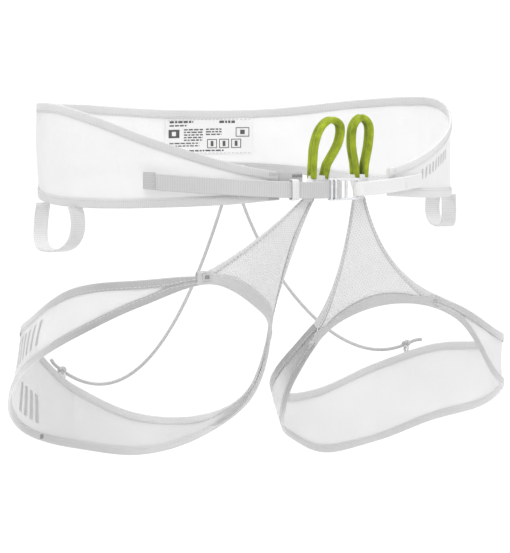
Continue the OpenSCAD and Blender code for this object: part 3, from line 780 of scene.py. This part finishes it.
label_words(-0.9, -0.35, 16.0, 1.5)
label_words(-0.9, -0.5, 13.6, 1.0)
label_words(0.25, 0.62, 15.6, 1.8)
for sides in ((-0.92, -0.66, 5.2, 6.6), (-0.92, -0.66, 9.8, 11.2),
              (-0.92, -0.84, 5.2, 11.2), (-0.74, -0.66, 5.2, 11.2)):
    label_bar(*sides)
for row in range(5):
    label_words(-0.55, -0.12, 10.6 - row * 1.9, 0.9)
for row in range(3):
    label_words(-0.05, 0.3, 10.8 - row * 1.9, 0.9)
for k in range(3):
    label_frame(-0.02 + 0.27 * k, 0.2 + 0.27 * k, -2.6, 4.0)
    label_bar(0.06 + 0.27 * k, 0.12 + 0.27 * k, -1.2, 2.6)
label_frame(0.62, 0.92, 5.6, 12.4)
label_bar(0.72, 0.82, 7.4, 10.6)
label_words(-0.6, 0.35, -4.8, 1.0)
for row in range(2):
    label_words(-0.9, -0.2, 0.8 - row * 1.9, 0.8)
a = np.linspace(mid - 12.6, mid + 12.6, 60)
for z in (-6.2, 18.2):
    stitch_row(shape, belt_at(a, z, -0.92), -belt_out(a), mark=2)
shape.on("harness", "size_label", "label_patch", "label", LABEL, INK, THREAD)

# ---------------- waist strap and buckle

STRAP_W, STRAP_T = 11.0, 1.2
SLACK = 0.15  # air between layers of webbing
INNER_RUN = 0.95 + SLACK + STRAP_T / 2
OUTER_RUN = INNER_RUN + STRAP_T + SLACK
BAR_R = 1.3
TURN_R = BAR_R + SLACK + STRAP_T / 2
BAR_OUT = INNER_RUN + TURN_R
BAR_X = -2.5
FRAME_MID, FRAME_LEN, FRAME_H, FRAME_T = 2.0, 26.0, 14.4, 2.1
FRAME_WIRE = 1.75
END_BAR_X = FRAME_MID + FRAME_LEN / 2 - 1
STRAP_Z, TAIL_Z, TAIL_ANGLE, FLAT_ANGLE = -21.8, -14.0, 124.6, 6
TAIL_TIP = 127  # a little short of the CAD's tip, as in the photo


def strap_z(angle):
    a = np.abs(angle)
    back = np.maximum(0, (172 - np.minimum(a, 360 - a)) / (172 - TAIL_ANGLE))
    return mix(STRAP_Z, TAIL_Z, back ** 1.2)


def strap_at(angle, out):
    near = np.minimum(np.abs(180 - np.abs(angle) % 360), FLAT_ANGLE)
    flat = HALF_D * (1 - np.cos(np.radians(near)))
    return plain_belt(angle, strap_z(angle), out + flat)


def bar_turn(x, turn, r):
    t = np.linspace(0, 180, 13)
    return front_angle(x + turn * r * sin_deg(t)), BAR_OUT - r * np.cos(np.radians(t))


LIFT_END = 180 - np.degrees(np.arcsin((FRAME_LEN / 2 - FRAME_MID + 2) / HALF_W))


def tail_out(angle):
    t = np.clip((np.abs(angle) - 155) / (LIFT_END - 155), 0, 1)
    return mix(OUTER_RUN, BAR_OUT + TURN_R, t ** 1.5)


inner_a = np.linspace(-138, front_angle(BAR_X - 1), 60)
turn_a, turn_out = bar_turn(BAR_X, 1, TURN_R)
tail_a = np.linspace(front_angle(BAR_X - 1), -TAIL_TIP, 90)
path = np.concatenate([strap_at(inner_a, INNER_RUN), strap_at(turn_a, turn_out),
                       strap_at(tail_a, tail_out(tail_a))])
shape = Shape()
ribbon(shape, resampled(path, 0.8), UP, tape_section(STRAP_W, STRAP_T, 0.06))
shape.on("harness", "waist_strap", "strap_webbing", "webbing", WEBBING)

shape = Shape()
a = -TAIL_TIP
z = np.linspace(-STRAP_W / 2, STRAP_W / 2, 16)
edge = strap_at(np.full(16, a), OUTER_RUN) + UP * z[:, None]
fold_over(shape, edge, -belt_along(a), belt_out(a), HEM_FOLD, half=0.7)
shape.on("harness", "strap_end_fold", "strap_hem", "webbing", HEM_TAPE, GREY_THREAD, GREY_THREAD)

KEEPER_X, KEEPER_W, KEEPER_GAP = -35, 5.0, 1.0
a = front_angle(KEEPER_X)
lift = tail_out(a)
middle = strap_at(a, (INNER_RUN + lift) / 2)
reach = (lift - INNER_RUN + STRAP_T) / 2 + KEEPER_GAP
shape = Shape()
ring = oval(middle, belt_out(a), reach, STRAP_W / 2 + KEEPER_GAP, 48, 0.35)
ribbon(shape, ring, belt_along(a), tape_section(KEEPER_W, 0.9), closed=True)
shape.on("keeper", "strap_keeper", "keeper_band", "elastic", ELASTIC, THREAD)


def buckle_at(x, y, out):
    return np.stack([x + 0 * y, -HALF_D - BAR_OUT - out + 0 * y, STRAP_Z + y], -1)


def rounded_loop(mid_x, length, height, r, n=10):
    """Centre line of a rounded rectangle in the buckle's plane."""
    corners = [(length / 2 - r, height / 2 - r, 0), (-length / 2 + r, height / 2 - r, 90),
               (-length / 2 + r, -height / 2 + r, 180), (length / 2 - r, -height / 2 + r, 270)]
    x, y = [], []
    for cx, cy, start in corners:
        t = np.radians(start + np.linspace(0, 90, n))
        x.append(mid_x + cx + r * np.cos(t))
        y.append(cy + r * np.sin(t))
    return buckle_at(np.concatenate(x), np.concatenate(y), 0.0)


shape = Shape()
loop = rounded_loop(FRAME_MID, FRAME_LEN - 1.7, FRAME_H - 1.4, 2.0)
path = resampled(np.concatenate([loop, loop[:1]]), 0.5)[:-1]
shape.skin(sweep(path, unit(np.cross(headings(path, closed=True), FRONT)), FRONT,
                 round_section(FRAME_WIRE, FRAME_T, 20, 0.55)), closed=True)
for x, wide in ((4.2, 2.0), (END_BAR_X - 0.2, 1.6)):
    y = np.linspace(-FRAME_H / 2 + 0.8, FRAME_H / 2 - 0.8, 20)
    path = buckle_at(x, y, 0.0)
    shape.skin(sweep(path, ALONG_X, FRONT, round_section(wide, FRAME_T * 0.95, 20, 0.6)))
for x in (FRAME_MID - FRAME_LEN / 2 + 1.2, -6.4):  # bars that arch over the strap's tail
    y = np.array([-6.5, -6.5, -6.35, -5.9, 0, 5.9, 6.35, 6.5, 6.5])
    rise = np.array([0.4, 2.6, 3.1, 3.35, 3.4, 3.35, 3.1, 2.6, 0.4])
    path = resampled(buckle_at(x, y, rise), 0.4)
    ribbon(shape, path, ALONG_X, round_section(1.7, 1.0, 16, 0.6))
shape.on("harness", "buckle_frame", "buckle_body", "buckle_metal", METAL)

shape = Shape()
y = np.linspace(-FRAME_H / 2 + 1.0, FRAME_H / 2 - 1.0, 60)
girth = np.where(np.abs(y) < FRAME_H / 2 - 1.6, BAR_R, 0.65)
knurl = 1 + 0.02 * np.sin(y * 9)
path = buckle_at(BAR_X, y, 0.0)
section = round_section(2, 2, 20)[None] * (girth * knurl)[:, None, None]
shape.skin(sweep(path, ALONG_X, FRONT, section))
shape.on("buckle_bar", "buckle_bar", "buckle_slider", "buckle_metal", METAL)

ANCHOR_R = TURN_R + 0.25
near_run, far_run = BAR_OUT - ANCHOR_R, BAR_OUT + ANCHOR_R
near_a = np.linspace(150 - 360, front_angle(END_BAR_X + 1), 30)
turn_a, turn_out = bar_turn(END_BAR_X, -1, ANCHOR_R)
t = np.linspace(0, 1, 24)
far_a = mix(front_angle(END_BAR_X + 2), 156 - 360, t)
path = np.concatenate([strap_at(near_a, near_run), strap_at(turn_a, turn_out),
                       strap_at(far_a, mix(far_run, near_run + STRAP_T + SLACK, t ** 0.6))])
shape = Shape()
ribbon(shape, resampled(path, 0.6), UP, tape_section(STRAP_W - 1.6, STRAP_T, 0.06))
a = 159 - 360
spot = strap_at(a, near_run + 2.1)
zigzag(shape, spot, belt_along(a), UP, belt_out(a), 7.0, STRAP_W - 4, 6, 0.2, 0)
shape.on("harness", "buckle_anchor_strap", "anchor_webbing", "webbing", WHITE_TAPE, THREAD)

# ---------------- tie-in loops

SLEEVE_W, SLEEVE_T, CORE_W, CORE_T = 8.2, 4.9, 5.2, 1.9
SEAM_LIFT = 1.545  # from the middle of a sleeve to the bed of its seam
WRAP_TOP, WRAP_LOW = -12.6, -29.5  # the gathered ends behind the strap, down to the riser's top


def loop_path(side, n=150, foot=-14.6):
    line = np.array(LOOP[side], float)
    k = np.arange(len(line))
    t = np.linspace(0, len(line) - 1, n)
    x, z = line_value(k, line[:, 0], t), line_value(k, line[:, 1], t)
    path = np.stack([x, np.full(n, LOOP_Y), z], -1)
    feet = []
    for end, nxt in ((path[0], path[3]), (path[-1], path[-4])):
        drop = np.linspace(foot, end[2] - 0.8, 12)
        lean = (end[0] - nxt[0]) / (end[2] - nxt[2]) * 0.4
        feet.append(np.stack([end[0] + lean * (drop - end[2]), np.full(12, LOOP_Y), drop], -1))
    return np.concatenate([feet[0], path, feet[1][::-1]])


for side in (RIGHT, LEFT):
    who = NAMES[side]
    path = resampled(loop_path(side), 0.45)
    n = unit(np.cross(headings(path), ALONG_Y))
    body, start, end = "tie_in_" + who, metres([0, LOOP_Y, -12.5]), metres([0, LOOP_Y, -5])
    s = lengths(path)
    lumps = 1 + 0.025 * np.sin(s * 1.7) * np.sin(s * 0.31 + side)
    section = round_section(SLEEVE_W, SLEEVE_T, 32, 0.8, 0.5)[None]
    section = section * np.stack([lumps, 1 / lumps], -1)[:, None]
    shape = Shape()
    shape.skin(sweep(path, ALONG_Y, n, section))
    for way in (1, -1):
        stitch_row(shape, path + n * way * SEAM_LIFT, n * way, 1.6, 0.8, 0.26)
    shape.between(body, "tie_in_sleeve_" + who, start, end, "tie_in_sleeve_cover_" + who,
                  "green_sleeve", SLEEVE, SLEEVE)
    shape = Shape()
    shape.skin(sweep(path[6:-6], ALONG_Y, n[6:-6], round_section(CORE_W, CORE_T, 16, 0.8)))
    shape.between(body, "tie_in_core_" + who, start, end, "tie_in_core_tape_" + who, "webbing",
                  WHITE_TAPE, WHITE_TAPE)

    line = LOOP[side]
    top_x = (line[0][0] + line[6][0]) / 2
    top_w = abs(line[6][0] - line[0][0]) + 4.6
    low_x = RISER_TOP[side][0]
    z = np.linspace(WRAP_TOP, WRAP_LOW, 30)
    t = ramp(WRAP_TOP, -26, z)
    x = mix(top_x, low_x, t)
    wide, deep = mix(top_w, 9.0, ramp(-15, -25, z)), mix(7.4, 1.6, ramp(-14, -27, z))
    path = np.stack([x, np.full(30, LOOP_Y) - 2.0 * t, z], -1)
    section = round_section(1, 1, 24, 0.6)[None] * np.stack([wide, deep], -1)[:, None]
    shape = Shape()
    shape.skin(sweep(path, ALONG_X, ALONG_Y, section))
    shape.on("harness", "tie_in_base_" + who, "tie_in_wrap_" + who, "webbing", WHITE_TAPE, THREAD)

# ---------------- gear loops

GEAR_ANGLE, GEAR_HALF_SPAN = [-91, 102], [14.5, 10.5]
GEAR_DROP, GEAR_BULGE = [29, 21], [2.5, 0]
GEAR_W, GEAR_T = 11.0, 1.1
for side in (RIGHT, LEFT):
    who, mid_a = NAMES[side], GEAR_ANGLE[side]
    t = np.linspace(0, 180, 160)
    c, s = np.cos(np.radians(t)), np.abs(sin_deg(t))
    across = -np.sign(c) * np.abs(c) ** 0.75 * (0.76 + 0.24 * s ** 0.5)
    z = belt_bottom(mid_a) - 2.3 - GEAR_DROP[side] * s ** 0.75
    loop = plain_belt(mid_a + GEAR_HALF_SPAN[side] * across, z, GEAR_BULGE[side] * s)
    feet = [end + UP * np.linspace(2.2, 0.3, 5)[:, None] for end in (loop[0], loop[-1])]
    path = resampled(np.concatenate([feet[0], loop, feet[1][::-1]]), 0.8)
    shape = Shape()
    ribbon(shape, path, belt_out(mid_a), tape_section(GEAR_W, GEAR_T, 0.05))
    x, y, z = *loop[0][:2], belt_bottom(mid_a) - 0.5
    shape.between("gear_" + who, "gear_loop_" + who, metres([x, y, z]), metres([x, y, z - 5]),
                  "gear_loop_tape_" + who, "webbing", GEAR_TAPE, THREAD)

# ---------------- leg loops and risers

def hex_mesh(shape, side, pitch=2.0, bar=0.36, thick=0.34):
    """Knitted mesh with real six-sided holes, laid out row by row down the riser."""
    rows = np.linspace(0, 1, 200)
    inner, outer = riser_at(side, 0.0, rows), riser_at(side, 1.0, rows)
    centre = riser_at(side, 0.5, rows)
    depth = lengths(centre)
    width = np.linalg.norm(outer - inner, axis=-1)
    high = pitch * 0.866
    count = int(depth[-1] / high)
    widest = int(width.max() / pitch / 2) + 2
    i, j = np.meshgrid(np.arange(-widest, widest + 1), np.arange(1, count), indexing="ij")
    x = (i + 0.5 * (j % 2)) * pitch
    y = j * high
    keep = np.abs(x) < np.interp(y, depth, width) / 2 - pitch * 0.35
    x, y = x[keep], y[keep]
    a = np.radians(60 * np.arange(6) + 30)
    ring_r = pitch / 2 / np.cos(np.radians(30))
    wide_x = x[:, None] + ring_r * np.cos(a)
    wide_y = y[:, None] + ring_r * np.sin(a)
    hole_r = ring_r - bar / np.cos(np.radians(30))
    hole_x = x[:, None] + hole_r * np.cos(a) * 0.95
    hole_y = y[:, None] + hole_r * np.sin(a)

    def place(px, py, lift):
        py = np.clip(py, 0, depth[-1])
        down = np.interp(py, depth, rows)
        across = np.clip(px / np.interp(py, depth, width) + 0.5, 0, 1)
        return riser_at(side, across, down) + riser_out(side, across, down) * lift

    points = np.stack([place(wide_x, wide_y, thick / 2), place(hole_x, hole_y, thick * 0.3),
                       place(hole_x, hole_y, thick * -0.3), place(wide_x, wide_y, thick / -2)],
                      axis=1)
    k = np.arange(6)
    m = (k + 1) % 6
    quads = []
    for ring in range(3):
        low = np.arange(len(x))[:, None] * 24 + ring * 6
        quads.append(np.stack([low + k, low + m, low + 6 + m, low + 6 + k], -1).reshape(-1, 4))
    quads = np.concatenate(quads)
    flat = np.stack([np.concatenate([wide_x, hole_x, hole_x, wide_x], 1).ravel(),
                     np.concatenate([wide_y, hole_y, hole_y, wide_y], 1).ravel()], -1)
    shape.put(points.reshape(-1, 3), quads, flat[quads])


TACK_ANGLE = 290


def leg_bar(shape, side, angle, low, high, out, width=1.7, slant=2.6):
    """A plain slanted bar printed on a leg band."""
    rise = np.linspace(low, high, 10)[None]
    across = np.linspace(-0.5, 0.5, 4)[:, None] * width
    a = angle + slant * (rise - low) / (high - low) + across
    a, rise = np.broadcast_arrays(a, rise)
    sheet(shape, leg_at(side, a, rise, out), leg_out(side, a), PRINT_T, 1)


for side in (RIGHT, LEFT):
    who, body = NAMES[side], "leg_" + NAMES[side]
    start, end = (metres([*RISER_TOP[side][:2], z]) for z in (-26, -42))
    band = np.linspace(INNER_CORNER[side] - 1.2, OUTER_CORNER[side] + 361.2, 300)
    grid_a, grid_r = np.broadcast_arrays(band[:, None], np.linspace(0, 1, 21)[None])
    shape = Shape()
    sheet(shape, leg_at(side, grid_a, grid_r), leg_out(side, grid_a), CLOTH_T)
    if side == RIGHT:
        for k in range(7):
            leg_bar(shape, side, -16 + 4.4 * k, 0.28, 0.74, PRINT_OUT)
        for k in range(4):
            leg_bar(shape, side, -66 + 5.2 * k, 0.18, 0.5, -PRINT_OUT, width=2.8)
    shape.on(body, "leg_panel_" + who, "leg_cloth_" + who, "laminate", LEG_LAMINATE[side], PRINT)

    out = leg_out(side, band)
    width = np.minimum(LEG_FOLD, leg_height(side, band) / 2 - 0.3)
    for part, rise, way in (("top", 1.0, -1), ("bottom", 0.0, 1)):
        shape = Shape()
        fold_over(shape, leg_at(side, band, rise), leg_rise(side, band) * way, out, width)
        if part == "bottom" and side == RIGHT:
            o = leg_out(side, TACK_ANGLE)
            spot = leg_at(side, TACK_ANGLE, 0.0) + leg_rise(side, TACK_ANGLE) * 2.6 - o * 0.95
            zigzag(shape, spot, np.cross(UP, o), UP, -o, 3.0, 3.4, 5, 0.3, TACK)
        shape.on(body, "leg_%s_binding_%s" % (part, who), "leg_%s_tape_%s" % (part, who),
                 "binding_tape", LEG_TAPE[side], THREAD, SEAM_SHADE, DARK_THREAD)

    shape = Shape()
    hex_mesh(shape, side)
    down, across = np.meshgrid(np.linspace(0.01, 0.995, 60), np.linspace(0.01, 0.99, 30),
                               indexing="ij")
    sheet(shape, riser_at(side, across, down), riser_out(side, across, down), 0.22, 1)
    shape.between(body, "riser_mesh_" + who, start, end, "riser_net_" + who, "mesh", MESH, LINING)

    for part, across, inward in (("outer", 1.0, 0.93), ("inner", 0.0, 0.07)):
        down = np.linspace(0.0, 0.995, 120)
        edge = riser_at(side, across, down)
        into = unit(riser_at(side, inward, down) - edge)
        limit = np.linalg.norm(riser_at(side, 0.5, down) - edge, axis=-1) * 0.85
        shape = Shape()
        wide = 1.4 + 8 * down if side == RIGHT else 1.1 + 4.5 * down ** 2
        width = np.minimum(np.minimum(LEG_FOLD, wide), limit)
        fold_over(shape, edge, into, riser_out(side, across, down), width, half=0.3, seam=0.8)
        shape.between(body, "riser_%s_binding_%s" % (part, who), start, end,
                      "riser_%s_tape_%s" % (part, who), "binding_tape", RISER_TAPE, GREY_THREAD, DARK_SEAM_SHADE)

    across = np.linspace(0.0, 1.0, 120)
    edge = riser_base(side, across)
    near = np.clip(across, 0.07, 0.93)
    upright = np.clip(1 - np.minimum(across, 1 - across) * 9, 0, 1)[:, None]
    angle = mix(INNER_CORNER[side], OUTER_CORNER[side], across)
    into = unit(mix(unit(riser_at(side, near, 0.92) - riser_base(side, near)),
                    leg_rise(side, angle), upright))
    shape = Shape()
    fold_over(shape, edge, into, riser_out(side, np.clip(across, 0.08, 0.92), np.ones(120)),
              BASE_FOLD, half=0.72)
    shape.on(body, "riser_base_binding_" + who, "riser_base_tape_" + who, "binding_tape", BASE_TAPE,
             THREAD, SEAM_SHADE)

    shape = Shape()
    # Each patch has its own thread: dark or grey on the outer one, light on the inner one.
    outer_tack = ((OUTER_CORNER[RIGHT] + 4.5, 1), (OUTER_CORNER[LEFT], 3))[side]
    for angle, tack in (outer_tack, (INNER_CORNER[side] + 1.6, 2)):
        a = angle + np.linspace(-1.9, 1.9, 8)[:, None]
        rise = np.linspace(-2.4, 2.4, 6)[None]
        a, rise = np.broadcast_arrays(a, rise)
        spots = leg_at(side, a, 0.0, 1.25, wavy=False) + UP * (4.5 + rise)[..., None]
        sheet(shape, spots, leg_out(side, a), 0.4)
        middle = leg_at(side, angle, 0.0, 1.5, wavy=False) + UP * 4.5
        o = leg_out(side, angle)
        zigzag(shape, middle, np.cross(UP, o), UP, o, 3.4, 3.0, 5, 0.2, tack)
    shape.on(body, "corner_patches_" + who, "corner_tacks_" + who, "bartack", BASE_TAPE, DARK_THREAD,
             THREAD, GREY_THREAD)

# ---------------- rear cords

def cord(shape, path, thick, sides=12, girth=1.0):
    ways = headings(path)
    w = unit(np.cross(ways, ALONG_Y))
    girth = np.broadcast_to(girth, len(path))[:, None, None]
    section = round_section(thick, thick, sides)[None] * girth
    shape.skin(sweep(path, w, np.cross(w, ways), section), turn=1.0)


def knot_path(at, way, r=2.1):
    """Overhand knot: a small trefoil whose ends run on into the cord and its tail."""
    t = np.linspace(0.15, 2 * np.pi - 0.35, 70)
    x = np.sin(t) + 2 * np.sin(2 * t)
    y = np.cos(t) - 2 * np.cos(2 * t)
    z = -np.sin(3 * t)
    side = unit(np.cross(way, ALONG_Y))
    top = np.cross(side, way)
    return at + (way * (x * 0.36)[:, None] + side * (y * 0.36)[:, None] + top * (z * 0.6)[:, None]) * r


CORD_D, KNOT_D = 2.3, 2.2
TAB_W, ANCHOR_W, TAB_T = 4.6, 14.0, 0.8
for side in (RIGHT, LEFT):
    who, body = NAMES[side], "leg_" + NAMES[side]
    at = CORD[side][3]
    shape = Shape()
    cord(shape, resampled(bezier(CORD[side], np.linspace(0, 0.992, 300)), 0.8), CORD_D)
    shape.between(body, "rear_cord_" + who, metres(CORD[side][0]), metres(at), "cord_braid_" + who,
                  "cord", CORDAGE)

    way = unit(np.array([[-8, 0, 9], [10, -4, 2]][side], float))
    shape = Shape()
    cord(shape, resampled(knot_path(at, way), 0.5), KNOT_D, 10)
    t = np.linspace(0, 1, 24)
    bend = np.cross(way, ALONG_Y) * (np.sin(t * 2.4) * 1.4)[:, None]
    tail = at + way * (1.0 + 11.0 * t)[:, None] + bend
    cord(shape, tail, CORD_D, girth=np.where(t > 0.9, 1.08, 1.0))
    shape.on(body, "cord_knot_" + who, "cord_knot_braid_" + who, "cord", CORDAGE)

    turn = np.radians([10, 40][side])
    along = np.array([np.cos(turn), np.sin(turn), 0])
    shape = Shape()
    ribbon(shape, oval(at - UP * 3.4, np.cross(UP, along), 1.3, 2.3), along,
           tape_section(TAB_W, TAB_T), closed=True)
    shape.on(body, "cord_tab_" + who, "cord_loop_tape_" + who, "binding_tape", CORD_TAPE)

shape = Shape()
a = BACK_TURN + 3
ring = oval(plain_belt(a, belt_bottom(a) - 0.5), belt_out(a), 1.9, 4.2)
ribbon(shape, ring, belt_along(a), tape_section(ANCHOR_W, TAB_T), closed=True)
shape.on("harness", "cord_anchor_tab", "cord_anchor_tape", "binding_tape", CORD_TAPE)

# ---------------- floor, light and camera

def area(name, place, aim, size, power):
    """A round soft lamp at a place, turned to what it lights."""
    light = bpy.data.lights.new(name, "AREA")
    light.shape, light.size, light.energy = "DISK", size, power
    lamp = new_object(name, light)
    lamp.location = place
    lamp.rotation_euler = (Vector(aim) - Vector(place)).to_track_quat("-Z", "Y").to_euler()


g = Graph("floor_paper")
grain = g.noise(30.0, 3.0)
colour = g.shade(grain, 0.3, 0.7, tone(0.985), tone(1.0))
matte = g.add("BsdfDiffuse", {"Color": colour}).outputs[0]
bright = g.add("Emission", {"Color": colour, "Strength": 1.08}).outputs[0]
seen_by_camera = g.add("LightPath").outputs["Is Camera Ray"]
FLOOR = g.finish(g.add("MixShader", {0: seen_by_camera, 1: matte, 2: bright}).outputs[0])
mesh = bpy.data.meshes.new("floor")
corners = [(-30, -30, -0.7), (30, -30, -0.7), (30, 30, -0.7), (-30, 30, -0.7)]
mesh.from_pydata(corners, [], [(0, 1, 2, 3)])
mesh.materials.append(FLOOR)
new_object("floor", mesh)

world = bpy.data.worlds.new("studio")
world.use_nodes = True
tree = world.node_tree
tree.nodes.clear()
out = tree.nodes.new("ShaderNodeOutputWorld")
pick = tree.nodes.new("ShaderNodeMixShader")
ray = tree.nodes.new("ShaderNodeLightPath")
tree.links.new(ray.outputs["Is Camera Ray"], pick.inputs[0])
for socket, strength in ((1, 0.66), (2, 1.1)):  # light on the object, then what the camera sees
    sky = tree.nodes.new("ShaderNodeBackground")
    sky.inputs[0].default_value, sky.inputs[1].default_value = (1, 1, 1, 1), strength
    tree.links.new(sky.outputs[0], pick.inputs[socket])
tree.links.new(pick.outputs[0], out.inputs[0])
bpy.context.scene.world = world

area("key", (-1.3, -1.2, 1.5), (0, 0, -0.1), 1.2, 19.5)
area("fill", (1.6, -1.3, 0.5), (0, 0, -0.1), 1.4, 7.5)
area("back", (0.4, 1.7, 1.0), (0, 0, -0.1), 1.4, 8.5)
area("floor_wash", (0, 0, 2.6), (0, 0, -0.7), 3.0, 44)

# The camera's lens, place and tilt were fitted to the photo.
camera = bpy.data.cameras.new("camera")
camera.lens, camera.sensor_width = 205.9, 36
eye = new_object("camera", camera)
eye.location = (-1.198, -1.845, 0.090)
eye.rotation_euler = (np.radians(85.38), 0, np.radians(-33.122))
bpy.context.scene.camera = eye
bpy.context.scene.view_settings.view_transform = "Standard"
